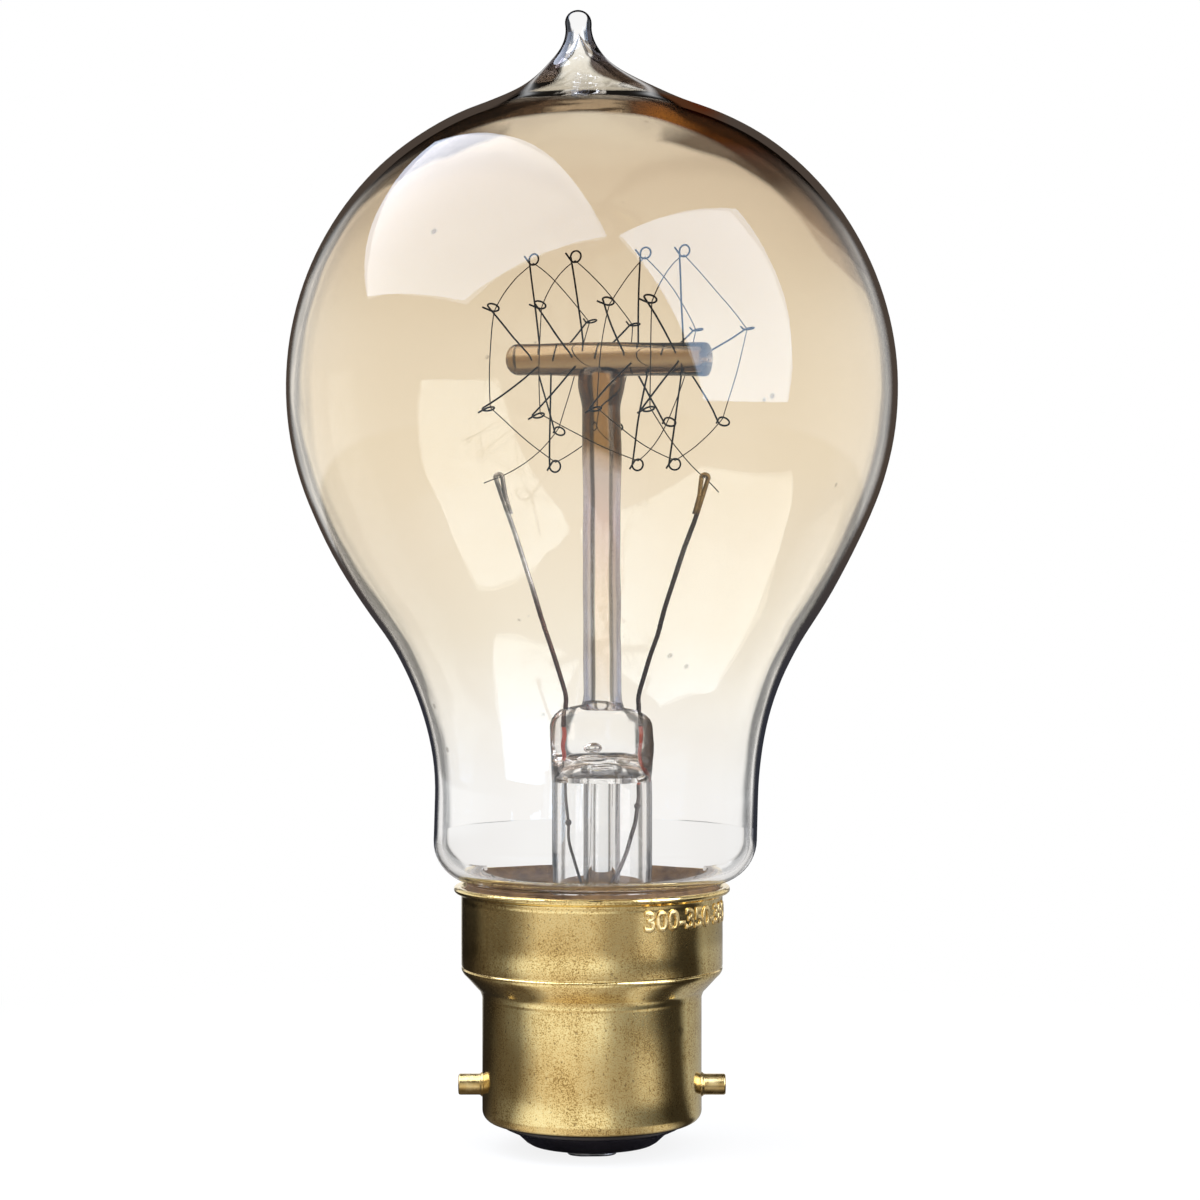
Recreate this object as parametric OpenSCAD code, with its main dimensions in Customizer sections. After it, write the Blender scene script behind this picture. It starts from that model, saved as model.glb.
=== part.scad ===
// Incandescent filament bulb with a two-pin bayonet cap, an exhaust pip at the top of the
// blown envelope and a straight-wire filament strung round a cage of hook supports.
// The origin is where the bulb's axis meets the axis of the two bayonet pins. +Z runs up to
// the pip and +X along the right pin, so a view along +Y shows the bulb from the front.
// All sizes are in millimetres.

/* [View] */
// Piece to show, or all

/* [Envelope] */
// Outer radius of the blown dome
dome_r = 30.6; // [26:0.05:38]
// Height of the dome's centre above the pins' axis
dome_z = 69.7; // [60:0.1:85]
// Latitude where the dome begins to flatten
crown_lat = 40; // [30:1:50]
// Radius of the flatter crown above that latitude
crown_r = 27.7; // [22:0.1:30]
// Angle below the widest place where the long haunch curve takes over
dome_drop = 22; // [8:0.5:28]
// Radius of the haunch curve between dome and neck
haunch_r = 60.2; // [45:0.1:90]
// Radius of the hollow curve that runs into the neck
fillet_r = 29.5; // [20:0.1:36]
// Outer radius of the neck
neck_r = 16.2; // [14.5:0.05:18]
// Thickness of the glass wall
glass_wall = 0.75; // [0.5:0.05:1.1]
// Height where the neck curls in towards the cap
curl_z = 24.6; // [24:0.1:26]
// Radius of the curl at the neck's lower end
curl_r = 4.3; // [3.5:0.1:5]
// Latitude on the crown where the drawn pip begins
pip_lat = 68.4; // [62:0.2:72]
// Height of the drawn pip above the dome's top
pip_h = 7.5; // [6:0.05:12]
// Radius of the pip's waist
pip_waist_r = 1.31; // [1:0.01:1.8]

/* [Cap] */
// Outer radius of the bayonet barrel
barrel_r = 11; // [10.6:0.05:11.3]
// Depth of the barrel's lower edge below the pins' axis
barrel_drop = 3.5; // [3:0.1:4.5]
// Radius of the barrel's turned-in lower edge
barrel_edge_r = 1.1; // [0.6:0.05:1.3]
// Height where the shoulder leaves the barrel
shoulder_z = 9.2; // [7.5:0.1:10]
// Height of the shoulder taper
shoulder_h = 2.3; // [1.8:0.1:3]
// Outer radius of the skirt
skirt_r = 13.1; // [13:0.05:14]
// Height of the rim above the pins' axis
rim_z = 20; // [19.6:0.05:20.1]
// Outer radius of the turned-out rim
rim_r = 13.85; // [13.6:0.05:15]
// Height of the flare below the rim
rim_h = 1.3; // [0.8:0.1:1.8]
// Sheet thickness of the brass
cap_wall = 0.4; // [0.25:0.05:0.6]
// Radius of a bayonet pin
pin_r = 1.05; // [0.9:0.05:1.2]
// Length of a bayonet pin outside the barrel
pin_out = 2.4; // [1.8:0.1:3]
// Length of a bayonet pin inside the barrel
pin_in = 0.5; // [0.2:0.1:1]
// Width of the collar at the root of a bayonet pin
pin_collar = 0.2; // [0.18:0.01:0.25]

/* [Contacts] */
// Radius of the opening that the barrel's edge leaves for the insulator
insulator_mouth_r = 9.6; // [9:0.1:9.8]
// Radius of the insulator's flat lower face
insulator_r = 6.2; // [6:0.1:7]
// Depth of the insulator's lower face below the pins' axis
insulator_drop = 5.8; // [5.2:0.1:6.2]
// Distance of each contact from the axis
contact_y = 3.6; // [2.8:0.1:4]
// Length of a contact plate
contact_l = 5; // [4:0.1:6]
// Width of a contact plate
contact_w = 3.4; // [2.6:0.1:4]
// Thickness of a contact plate
contact_t = 0.6; // [0.4:0.05:0.9]
// How far a contact plate stands out of the insulator
contact_out = 0.1; // [0.05:0.05:0.3]
// Height of the solder pad below its contact plate
solder_h = 0.4; // [0.2:0.05:0.8]

/* [Stem] */
// Sideways shift of the whole mount from the envelope's axis
mount_shift = 1; // [0:0.1:1.2]
// Outer radius of the flare tube
flare_tube_r = 5.05; // [4.8:0.05:5.5]
// Wall of the flare tube
flare_wall = 0.8; // [0.5:0.05:1]
// Radius of the flare's rim
flare_rim_r = 9; // [8:0.1:9.4]
// Height of the sealed lower end above the pins' axis
seal_z = 13.5; // [12.5:0.1:14.5]
// Thickness of the sealed edge
seal_t = 1.2; // [0.8:0.1:1.6]
// Radius of the neck glass inside the cap
seal_r = 12.2; // [12:0.05:12.4]
// Height where the flare tube ends and the press begins
press_z = 30.5; // [29.5:0.1:31.5]
// Height of the press
press_h = 7.5; // [6:0.1:9]
// Width of the press across the leads
press_w = 10.5; // [10.2:0.1:11.5]
// Thickness of the press where the glass is pinched
press_t = 3.6; // [3:0.1:4.5]
// Outer radius of the exhaust tube
exhaust_r = 1.85; // [1.5:0.05:2.1]
// Bore radius of the exhaust tube
exhaust_bore_r = 1.05; // [0.7:0.05:1.2]
// Height of the exhaust tube's closed tip above the pins' axis
exhaust_tip_z = 8; // [5:0.5:11]
// Radius of the glass rod above the press
rod_r = 1.9; // [1.6:0.05:2.2]
// Radius of the swelling where rod and crossbar are fused
joint_r = 2.35; // [2.1:0.05:2.8]
// Radius of the glass crossbar
bar_r = 1.7; // [1.4:0.05:2]
// Length of the crossbar
bar_l = 22; // [21.6:0.2:26]
// Height of the crossbar's axis above the pins' axis
bar_z = 72.65; // [69:0.05:75]
// Sideways place of the crossbar's middle from the mount's axis
bar_shift = 0.4; // [0:0.1:0.6]
// Turn of the crossbar about the bulb's axis
bar_turn = 25; // [0:1:60]

/* [Supports] */
// Radius of the support wire
hook_wire_r = 0.095; // [0.07:0.005:0.12]
// Reach of a support from the crossbar's axis to the top of its loop
hook_reach = 11.2; // [9:0.1:12]
// Middle radius of a support's loop
loop_r = 0.58; // [0.45:0.01:0.7]
// Depth of a support's root in the glass
hook_root = 1; // [0.6:0.1:1.3]
// Stations of the top supports' roots along the crossbar
top_root = [-7.3, -2.3, 3.5, 8.5];
// Stations of the top supports' loops
top_tip = [-8.1, -3.3, 4.4, 8.5];
// Angles of the top supports from straight up
top_angle = [0, 0, 0, 0];
// Stations of the front upper supports' roots
front_upper_root = [-7.9, -3.2, 2.4, 7.9];
// Stations of the front upper supports' loops
front_upper_tip = [-7.9, -2.8, 4.6, 9.0];
// Angles of the front upper supports
front_upper_angle = [62, 62, 62, 62];
// Stations of the front lower supports' roots
front_lower_root = [-7.2, -2.9, 3.1, 8.2];
// Stations of the front lower supports' loops
front_lower_tip = [-8.6, -3.3, 3.1, 8.55];
// Angles of the front lower supports
front_lower_angle = [119, 124, 121, 122];
// Stations of the bottom supports' roots
bottom_root = [-6.0, 4.7, 8.3];
// Stations of the bottom supports' loops
bottom_tip = [-5.7, 3.4, 7.4];
// Angles of the bottom supports
bottom_angle = [180, 180, 180];
// Stations of the back lower supports' roots
back_lower_root = [-8.0, -2.4, 2.6, 8.1];
// Stations of the back lower supports' loops
back_lower_tip = [-9.1, -2.7, 3.1, 9.2];
// Angles of the back lower supports
back_lower_angle = [-129, -126, -124, -125];
// Stations of the back upper supports' roots
back_upper_root = [-5.7, -1.1, 5.9, 10.2];
// Stations of the back upper supports' loops
back_upper_tip = [-5.9, -1.1, 5.8, 11.5];
// Angles of the back upper supports
back_upper_angle = [-62, -65, -70, -71];

/* [Wires] */
// Radius of the filament
filament_r = 0.055; // [0.04:0.005:0.08]
// Gap between the filament and the loop that carries it
filament_gap = 0.02; // [0.01:0.01:0.1]
// Radius of the nickel leads
lead_r = 0.24; // [0.18:0.01:0.3]
// Distance of the leads from the mount's axis in the press
lead_x = 3.7; // [3.2:0.05:3.8]
// Distance of the leads' folded tops from the mount's axis
lead_top_x = 10.35; // [9:0.05:12]
// Height of the leads' folded tops above the pins' axis
lead_top_z = 61.2; // [55:0.1:64]
// Length of the folded ends
lead_fold = 3.6; // [2:0.1:5]
// Radius of the fold, to the wire's middle
lead_bend_r = 0.36; // [0.3:0.02:0.6]
// Radius of the red seal wires in the press
seal_wire_r = 0.2; // [0.15:0.01:0.25]
// Height of the joint between a seal wire and its nickel lead, below the press's top
seal_wire_top = 2; // [1:0.1:3]
// Length of the left seal wire
seal_left_l = 3.5; // [2:0.1:5]
// Length of the right seal wire
seal_right_l = 5.9; // [2:0.1:6.5]
// Radius of the left outer lead
outer_left_r = 0.16; // [0.1:0.01:0.22]
// Radius of the right outer lead
outer_right_r = 0.2; // [0.15:0.01:0.25]
// Radius of the weld bead on each outer lead
bead_r = 0.34; // [0.25:0.01:0.4]
// Clearance round a wire in a hole of the cap
wire_gap = 0.1; // [0.05:0.01:0.2]

/* [Hidden] */
$fn = 64;
eps = 0.01;
mount_x = mount_shift;
bar_x = mount_shift + bar_shift;
bar_dir = [cos(bar_turn), -sin(bar_turn), 0];
front_dir = [-sin(bar_turn), -cos(bar_turn), 0];
up_dir = [0, 0, 1];
bar_mid = [bar_x, 0, bar_z];
press_top = press_z + press_h;
barrel_in_r = barrel_r - cap_wall;
skirt_in_r = skirt_r - cap_wall;
solder_z = -insulator_drop - contact_out - solder_h;
plate_z = -insulator_drop - contact_out;
seal_top_z = press_top - seal_wire_top;
loop_mid = hook_reach - loop_r - hook_wire_r;
filament_reach = loop_mid - loop_r + hook_wire_r + filament_r + filament_gap;

// Points of an arc about c, from angle a to angle b, in n steps
function arc(c, r, a, b, n) = [for (i = [0:n]) c + r * [cos(a + (b - a) * i / n), sin(a + (b - a) * i / n)]];
function unit(v) = v / norm(v);

// The envelope's outline is a chain of tangent arcs. t moves it inwards by the wall.
crown_c = [0, dome_z] + (dome_r - crown_r) * [cos(crown_lat), sin(crown_lat)];
haunch_c = [(dome_r - haunch_r) * cos(dome_drop), dome_z - (dome_r - haunch_r) * sin(dome_drop)];
fillet_x = neck_r + fillet_r;
fillet_drop = sqrt(pow(haunch_r + fillet_r, 2) - pow(fillet_x - haunch_c[0], 2));
fillet_c = [fillet_x, haunch_c[1] - fillet_drop];
turn_a = atan2(fillet_drop, fillet_x - haunch_c[0]);
curl_c = [neck_r - curl_r, curl_z];
curl_in_a = acos((seal_r - curl_c[0]) / curl_r);

function body_outline(t, lat) = concat(
    arc(crown_c, crown_r - t, lat, crown_lat, max(4, round((lat - crown_lat) / 3.5))),
    arc([0, dome_z], dome_r - t, crown_lat, -dome_drop, 22),
    arc(haunch_c, haunch_r - t, -dome_drop, -turn_a, 6),
    arc(fillet_c, fillet_r + t, 180 - turn_a, 180, 10));

// Curl of the neck into the cap, down to the sealed edge
function curl_outline(t, z) = concat(
    arc(curl_c, curl_r - t, 0, -acos((seal_r - t - curl_c[0]) / (curl_r - t)), 8),
    [[seal_r - t, z]]);

// The drawn pip leaves the crown with the crown's own slope, steepens to a thin waist and
// ends in a knob.
pip_top_z = dome_z + dome_r + pip_h;
pip_foot = crown_c + crown_r * [cos(pip_lat), sin(pip_lat)];
knob_h = 1.8;
waist_z = pip_top_z - knob_h;
pip_turn = [pip_waist_r, pip_foot[1] + (pip_foot[0] - pip_waist_r) / tan(pip_lat)];
function bend(a, b, c, t) = a * pow(1 - t, 2) + b * 2 * t * (1 - t) + c * pow(t, 2);
function pip_outline() = concat(
    [[0, pip_top_z]],
    arc([pip_waist_r - 0.95, pip_top_z - 1], 1, 80, 0, 4),
    [for (i = [0:15]) bend([pip_waist_r, waist_z], pip_turn, pip_foot, i / 15)]);

// A tube swept along a path. Each ring is squared to the path and turned by the direction ref.
function tangent(p, i) = unit(p[min(i + 1, len(p) - 1)] - p[max(i - 1, 0)]);
function ring(c, d, ref, r, n) = let (u = unit(cross(d, ref)), v = cross(d, u))
    [for (k = [0:n - 1]) c + r * (cos(360 * k / n) * u + sin(360 * k / n) * v)];
function tube_faces(m, n) = concat(
    [[for (k = [0:n - 1]) k]],
    [for (i = [0:m - 2], k = [0:n - 1]) [i * n + (k + 1) % n, i * n + k, (i + 1) * n + k]],
    [for (i = [0:m - 2], k = [0:n - 1]) [i * n + (k + 1) % n, (i + 1) * n + k, (i + 1) * n + (k + 1) % n]],
    [[for (k = [0:n - 1]) (m - 1) * n + n - 1 - k]]);
module tube(path, ref, r, n = 8) {
    rings = [for (i = [0:len(path) - 1]) each ring(path[i], tangent(path, i), ref, r, n)];
    polyhedron(points = rings, faces = tube_faces(len(path), n), convexity = 6);
}

// A straight round rod between two points
module rod_between(p, q, r) {
    d = q - p;
    translate(p)
        rotate([0, acos(d[2] / norm(d)), atan2(d[1], d[0])])
            cylinder(r = r, h = norm(d));
}

module obround(l, w, h) {
    linear_extrude(height = h) union() {
        square([l - w, w], center = true);
        for (s = [-1, 1]) translate([s * (l - w) / 2, 0]) circle(d = w);
    }
}

// Direction of a support that stands at angle a from straight up, front side positive
function spoke(a) = cos(a) * up_dir + sin(a) * front_dir;
function across(a) = -sin(a) * up_dir + cos(a) * front_dir;
function bar_point(s, rho, a) = bar_mid + s * bar_dir + rho * spoke(a);

// Path of a support's loop: over the top from the stem's side, round, and back past the stem
loop_end = -150;
loop_steps = 22;
loop_shift = 2 * hook_wire_r + 0.05;
function loop_point(s, a, w) = bar_point(s + loop_r * cos(w), loop_mid + loop_r * sin(w), a)
    + across(a) * loop_shift * (180 - w) / (180 - loop_end);
function loop_path(s, a) = let (
    p = [for (i = [0:loop_steps]) loop_point(s, a, 180 + (loop_end - 180) * i / loop_steps)],
    d = unit(p[loop_steps] - p[loop_steps - 1]))
    concat([loop_point(s, a, 180) - 0.12 * spoke(a)], p, [p[loop_steps] + 0.5 * d]);

module hook(root_s, tip_s, a) {
    foot = bar_point(root_s, bar_r - hook_root, a);
    head = bar_point(tip_s - loop_r, loop_mid, a);
    rod_between(foot, head, hook_wire_r);
    tube(loop_path(tip_s, a), across(a), hook_wire_r * 0.96, 6);
}
// The hole that a support's root leaves in the crossbar
module hook_hole(root_s, tip_s, a) {
    rod_between(bar_point(root_s, bar_r - hook_root, a), bar_point(tip_s - loop_r, loop_mid, a), hook_wire_r);
}

// Every support, in the order that the filament visits them
hooks = concat(
    [for (i = [0:3]) [top_root[i], top_tip[i], top_angle[i]]],
    [for (i = [0:3]) [front_upper_root[i], front_upper_tip[i], front_upper_angle[i]]],
    [for (i = [0:3]) [front_lower_root[i], front_lower_tip[i], front_lower_angle[i]]],
    [for (i = [0:2]) [bottom_root[i], bottom_tip[i], bottom_angle[i]]],
    [for (i = [0:3]) [back_lower_root[i], back_lower_tip[i], back_lower_angle[i]]],
    [for (i = [0:3]) [back_upper_root[i], back_upper_tip[i], back_upper_angle[i]]]);
function hook_at(k) = let (h = hooks[k]) bar_point(h[1], filament_reach, h[2])
    + across(h[2]) * loop_shift * 0.8;
// One turn goes back lower, back upper, top, front upper, front lower and then the bottom
filament_hooks = [for (i = [0:3]) each (i < 3
    ? [15 + i, 19 + i, i, 4 + i, 8 + i, 12 + i]
    : [15 + i, 19 + i, i, 4 + i, 8 + i])];
// Each end passes through the fold of its lead, across the fold's plane, and leaves a short tail
function lead_eye(s) = [mount_x + s * lead_top_x, 0, lead_top_z - lead_bend_r];
side_step = lead_r + filament_r + 0.15;
filament_path = concat(
    [lead_eye(-1) + [-1.5, -side_step - 0.1, -0.6], lead_eye(-1) + [-0.15, -side_step, -0.05],
     lead_eye(-1) + [0, side_step, 0]],
    [for (k = filament_hooks) hook_at(k)],
    [lead_eye(1) + [0, -side_step, 0], lead_eye(1) + [0.15, side_step, -0.05],
     lead_eye(1) + [1.4, side_step + 0.1, -1.4]]);
far_apart = [for (i = [3:len(filament_path) - 7], j = [i + 3:len(filament_path) - 4])
    norm(filament_path[i] - filament_path[j])];
echo(least_gap_of_the_filament_to_itself = min(far_apart) - 2 * filament_r);

// Centre line of a nickel lead above the press, with its fold at the top. s is -1 left, 1 right.
function lead_path(s) = let (
    foot = [mount_x + s * lead_x, 0, press_top],
    top = [mount_x + s * (lead_top_x + lead_bend_r), 0, lead_top_z - lead_bend_r],
    knee = foot + [0, 0, 1.2],
    d = unit(top - knee),
    mid = [mount_x + s * lead_top_x, 0, lead_top_z - lead_bend_r])
    concat(
        [foot - [0, 0, 0.3], foot, knee],
        [for (t = [0.02, 0.25, 0.5, 0.75, 0.97]) knee + (top - knee) * t],
        [for (i = [0:6]) mid + lead_bend_r * [s * cos(30 * i), 0, sin(30 * i)]],
        [mid + [-s * (lead_bend_r + 0.28), 0, -0.5 * lead_fold],
         mid + [-s * (lead_bend_r + 0.8), 0, -lead_fold]]);

module lead(s) {
    translate([mount_x + s * lead_x, 0, seal_top_z])
        cylinder(r = lead_r, h = press_top + 0.8 - seal_top_z);
    difference() {
        tube(lead_path(s), [0, 1, 0], lead_r * 0.99, 10);
        translate([mount_x + s * lead_x, 0, press_top - 1]) cylinder(r = 1, h = 1);
    }
}

// Centre line of an outer lead, down inside the flare and the cap to its contact. Each point is
// chosen by hand as shares of the lead spacing, the contact spacing and the press's height.
route_left = [[-0.92, 0.06, 0.866], [-0.91, 0.11, 0.81], [-0.78, 0.22, 0.748], [-0.65, 0.39, 0.675],
    [-0.57, 0.67, 0.59], [-0.51, 0.89, 0.49], [-0.46, 1.06, 0.36], [-0.38, 1.08, 0.23]];
route_right = [[0.96, -0.06, 0.918], [0.89, -0.17, 0.866], [0.78, -0.33, 0.826], [0.62, -0.53, 0.761],
    [0.43, -0.69, 0.695], [0.24, -0.81, 0.633], [0.05, -0.92, 0.49], [-0.08, -1.06, 0.36], [-0.19, -1.08, 0.23]];
function outer_path(s) = let (
    top = seal_top_z - (s < 0 ? seal_left_l : seal_right_l),
    y = s < 0 ? contact_y : -contact_y)
    concat(
        [[mount_x + s * lead_x, 0, top], [mount_x + s * lead_x, 0, min(top, press_z) - 0.04 * press_z]],
        [for (p = s < 0 ? route_left : route_right)
            [mount_x + p[0] * lead_x, p[1] * contact_y, p[2] * press_z]],
        [[0, y, 0.09 * press_z], [0, y, 0], [0, y, plate_z - solder_h / 2]]);

module outer_lead(s, r) {
    p = outer_path(s);
    tube(p, [0.2, 1, 0.1], r, 8);
    translate(p[2]) sphere(r = bead_r);
}

module envelope() {
    crown_in = crown_r - glass_wall;
    inner_top = crown_c + crown_in * [cos(pip_lat + 6), sin(pip_lat + 6)];
    // inside, the wall runs up into the pip as a narrow cone
    tip = [0, min(waist_z - 3 * pip_waist_r, pip_foot[1] + 4.4)];
    outer = concat(pip_outline(), body_outline(0, pip_lat - 3), curl_outline(0, seal_z));
    inner = concat([for (i = [0:8]) bend(tip, [0.4, inner_top[1] + 1.5], inner_top, i / 8)],
        body_outline(glass_wall, pip_lat + 3), curl_outline(glass_wall, seal_z + seal_t));
    color([0.86, 0.75, 0.45, 0.35])
        difference() {
            rotate_extrude() polygon(concat(outer, [[0, seal_z]]));
            rotate_extrude() polygon(concat(inner, [[0, seal_z + seal_t]]));
            translate([mount_shift, 0, seal_z - 1]) cylinder(r = flare_rim_r, h = seal_t + 2);
        }
}

module stem_flare() {
    r1 = flare_tube_r;
    bend = flare_rim_r - r1 - 0.6;
    foot_z = seal_z + seal_t;
    in_r = r1 - flare_wall;
    color([0.8, 0.85, 0.88, 0.5])
        translate([mount_x, 0, 0])
            rotate_extrude() polygon(concat(
                [[r1, press_z]],
                arc([r1 + bend, foot_z + bend], bend, 180, 270, 8),
                [[flare_rim_r, foot_z], [flare_rim_r, seal_z]],
                arc([in_r + bend + flare_wall, seal_z + bend], bend + flare_wall * 0.5, 270, 180, 8),
                [[in_r, seal_z + bend + flare_wall], [in_r, press_z]]));
}

// The press is the flare tube's upper end, pinched flat round the leads
module stem_press() {
    round_r = 1.3;
    waist_z = 3;
    half = press_t / 2;
    color([0.78, 0.84, 0.87, 0.6])
        difference() {
            translate([mount_x, 0, press_z])
                intersection() {
                    cylinder(r = press_w / 2, h = press_h);
                    rotate([90, 0, 0]) linear_extrude(height = press_w + 2, center = true)
                        polygon(concat([[-press_w / 2 - 1, 0], [press_w / 2 + 1, 0]],
                            arc([press_w / 2 - round_r, press_h - round_r], round_r, 0, 90, 6),
                            arc([round_r - press_w / 2, press_h - round_r], round_r, 90, 180, 6)));
                    rotate([90, 0, 90]) linear_extrude(height = press_w + 2, center = true)
                        polygon(concat([[-flare_tube_r, 0], [flare_tube_r, 0]],
                            arc([half + waist_z, waist_z + 0.4], waist_z, 270, 180, 8),
                            [[half, press_h - 0.8]],
                            arc([half - 0.8, press_h - 0.8], 0.8, 0, 90, 4),
                            arc([0.8 - half, press_h - 0.8], 0.8, 90, 180, 4),
                            [[-half, press_h - 0.8]],
                            arc([-half - waist_z, waist_z + 0.4], waist_z, 360, 270, 8)));
                }
            for (s = [-1, 1]) {
                translate([mount_x + s * lead_x, 0, seal_top_z]) cylinder(r = lead_r, h = seal_wire_top + 1);
                translate([mount_x + s * lead_x, 0, press_z - 1])
                    cylinder(r = seal_wire_r, h = seal_top_z - press_z + 1);
            }
            // the blown exhaust hole, from the exhaust tube's bore out through the front
            translate([mount_x, 0, press_z - 1]) cylinder(r = exhaust_bore_r * 0.6, h = 3.6);
            translate([mount_x - 0.4, 0, press_z + 2.6]) rotate([90, 90, 0])
                translate([0, 0, 0]) obround(2, 0.9, press_w);
        }
}

module exhaust_tube() {
    h = press_z - exhaust_tip_z;
    color([0.8, 0.86, 0.9, 0.5])
        translate([mount_x, 0, exhaust_tip_z])
            rotate_extrude() polygon(concat(
                [[0, 2.6], [exhaust_bore_r * 0.6, 3.1], [exhaust_bore_r, 4.2], [exhaust_bore_r, h],
                 [exhaust_r, h], [exhaust_r, 3.4], [exhaust_r * 0.82, 1.8], [exhaust_r * 0.5, 0.5], [exhaust_r * 0.25, 0.1], [0, 0]]));
}

module stem_rod() {
    top = bar_z - bar_r;
    color([0.82, 0.86, 0.86, 0.5])
        difference() {
            translate([mount_x, 0, 0])
                rotate_extrude() polygon(concat(
                    [[0, press_top], [rod_r + 0.25, press_top], [rod_r, press_top + 1.4], [rod_r, top - 3.4]],
                    [for (i = [1:5]) [rod_r + (joint_r - rod_r) * (1 - cos(36 * i)) / 2, top - 3.4 + 0.6 * i]],
                    [[joint_r * 0.97, top + 0.4], [joint_r * 0.86, top + 1], [joint_r * 0.5, top + 1.5],
                     [0, top + 1.6]]));
            translate(bar_mid) rotate([0, 90, -bar_turn]) cylinder(r = bar_r, h = bar_l, center = true);
        }
}

module crossbar() {
    end_r = 1.2;
    color([0.8, 0.7, 0.4, 0.7])
        difference() {
            translate(bar_mid) rotate([0, 90, -bar_turn]) rotate_extrude() polygon(concat(
                [[0, -bar_l / 2], [bar_r - end_r, -bar_l / 2]],
                arc([bar_r - end_r, end_r - bar_l / 2], end_r, 270, 360, 6),
                [[bar_r, bar_l / 2 - 0.15], [bar_r - 0.15, bar_l / 2], [0, bar_l / 2]]));
            for (h = hooks) hook_hole(h[0], h[1], h[2]);
        }
}

module filament() {
    color([0.3, 0.3, 0.3]) tube(filament_path, bar_dir, filament_r, 6);
}

module seal_wire(s, l) {
    color([0.7, 0.2, 0.12])
        translate([mount_x + s * lead_x, 0, seal_top_z - l]) cylinder(r = seal_wire_r, h = l);
}

// Sheet outline of the cap, from the barrel's mouth up to the rim. t moves it inwards by the wall.
function cap_outline(t) = concat(
    arc([barrel_r - barrel_edge_r, barrel_edge_r - barrel_drop], barrel_edge_r - t, 270, 360, 6),
    [[barrel_r - t, shoulder_z - 0.3 + t * 0.4], [barrel_r - t + 0.2, shoulder_z + t * 0.4],
     [skirt_r - t - 0.5, shoulder_z + shoulder_h - 0.5 + t * 0.4], [skirt_r - t - 0.12, shoulder_z + shoulder_h - 0.1 + t * 0.4],
     [skirt_r - t, shoulder_z + shoulder_h + 0.4]],
    [[skirt_r - t, rim_z - rim_h - 0.3]]);

module cap_shell() {
    lip = barrel_edge_r;
    color([0.82, 0.66, 0.3])
        difference() {
            rotate_extrude() polygon(concat(
                [[insulator_mouth_r, cap_wall - barrel_drop], [insulator_mouth_r, -barrel_drop]],
                cap_outline(0),
                [[skirt_r + 0.12, rim_z - rim_h], [skirt_r + 0.3, rim_z - rim_h + 0.35],
                 [skirt_r + 0.38, rim_z - 0.6], [rim_r - 0.1, rim_z - 0.3], [rim_r, rim_z - 0.18], [rim_r, rim_z - 0.06],
                 [rim_r - 0.08, rim_z], [skirt_r + 0.15, rim_z], [skirt_r - 0.12, rim_z - 0.3],
                 [skirt_r - cap_wall, rim_z - rim_h]],
                [for (i = [len(cap_outline(0)) - 1:-1:0]) cap_outline(cap_wall)[i]]));
            for (s = [-1, 1]) rotate([0, s * 90, 0]) cylinder(r = pin_r + pin_collar, h = barrel_r + 1);
        }
}

// The pin's root fills the hole in the barrel and ends in a small bevelled collar outside it
module bayonet_pin(s) {
    tip = barrel_r + pin_out;
    color([0.85, 0.72, 0.4])
        rotate([0, s * 90, 0])
            rotate_extrude() polygon(concat(
                [[0, barrel_in_r - pin_in], [pin_r + pin_collar, barrel_in_r - pin_in],
                 [pin_r + pin_collar, barrel_r + 0.02], [pin_r, barrel_r + 0.02 + pin_collar]],
                arc([pin_r - 0.2, tip - 0.2], 0.2, 0, 90, 3),
                [[0, tip]]));
}

// Moulded black glass that closes the barrel and carries the contacts
module insulator() {
    inside = arc([barrel_r - barrel_edge_r, barrel_edge_r - barrel_drop], barrel_edge_r - cap_wall, 270, 360, 6);
    top_z = -pin_r - 0.35;
    color([0.06, 0.05, 0.05])
        difference() {
            rotate_extrude() polygon(concat(
                [[0, -insulator_drop], [insulator_r, -insulator_drop], [insulator_r + 0.5, 0.3 - insulator_drop],
                 [insulator_r + 1.4, 1.2 - insulator_drop],
                 [insulator_mouth_r - 0.5, -barrel_drop - 0.4], [insulator_mouth_r - 0.35, -barrel_drop],
                 [insulator_mouth_r, -barrel_drop], [insulator_mouth_r, cap_wall - barrel_drop]],
                inside,
                [[barrel_in_r, top_z - 0.2], [barrel_in_r - 0.2, top_z], [0, top_z]]));
            for (s = [-1, 1]) translate([0, s * contact_y, 0]) {
                translate([0, 0, -insulator_drop - 1])
                    obround(contact_l, contact_w, 1 + contact_t - contact_out);
                translate([0, 0, -insulator_drop - 1]) cylinder(r = outer_right_r + wire_gap, h = insulator_drop + 2);
            }
        }
}

module contact_plate(s) {
    color([0.8, 0.65, 0.35])
        translate([0, s * contact_y, plate_z])
            difference() {
                obround(contact_l, contact_w, contact_t);
                translate([0, 0, -1]) cylinder(r = outer_right_r + wire_gap / 2, h = contact_t + 2);
            }
}

module solder_pad(s) {
    edge = min(0.15, solder_h / 2);
    color([0.66, 0.66, 0.67])
        translate([0, s * contact_y, solder_z])
            difference() {
                union() {
                    obround(contact_l - 2 * edge, contact_w - 2 * edge, solder_h);
                    translate([0, 0, edge]) obround(contact_l, contact_w, solder_h - edge);
                }
                translate([0, 0, solder_h / 2 - 0.05]) cylinder(r = outer_right_r + wire_gap / 2, h = solder_h);
            }
}

// Ring of basing cement between the neck's glass and the skirt
module cement() {
    top_z = rim_z - rim_h;
    color([0.5, 0.34, 0.2])
        rotate_extrude() polygon([[seal_r, seal_z], [skirt_in_r, seal_z], [skirt_in_r, top_z],
            [skirt_in_r - 0.1, top_z + 0.25], [seal_r, top_z + 0.5]]);
}

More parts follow.
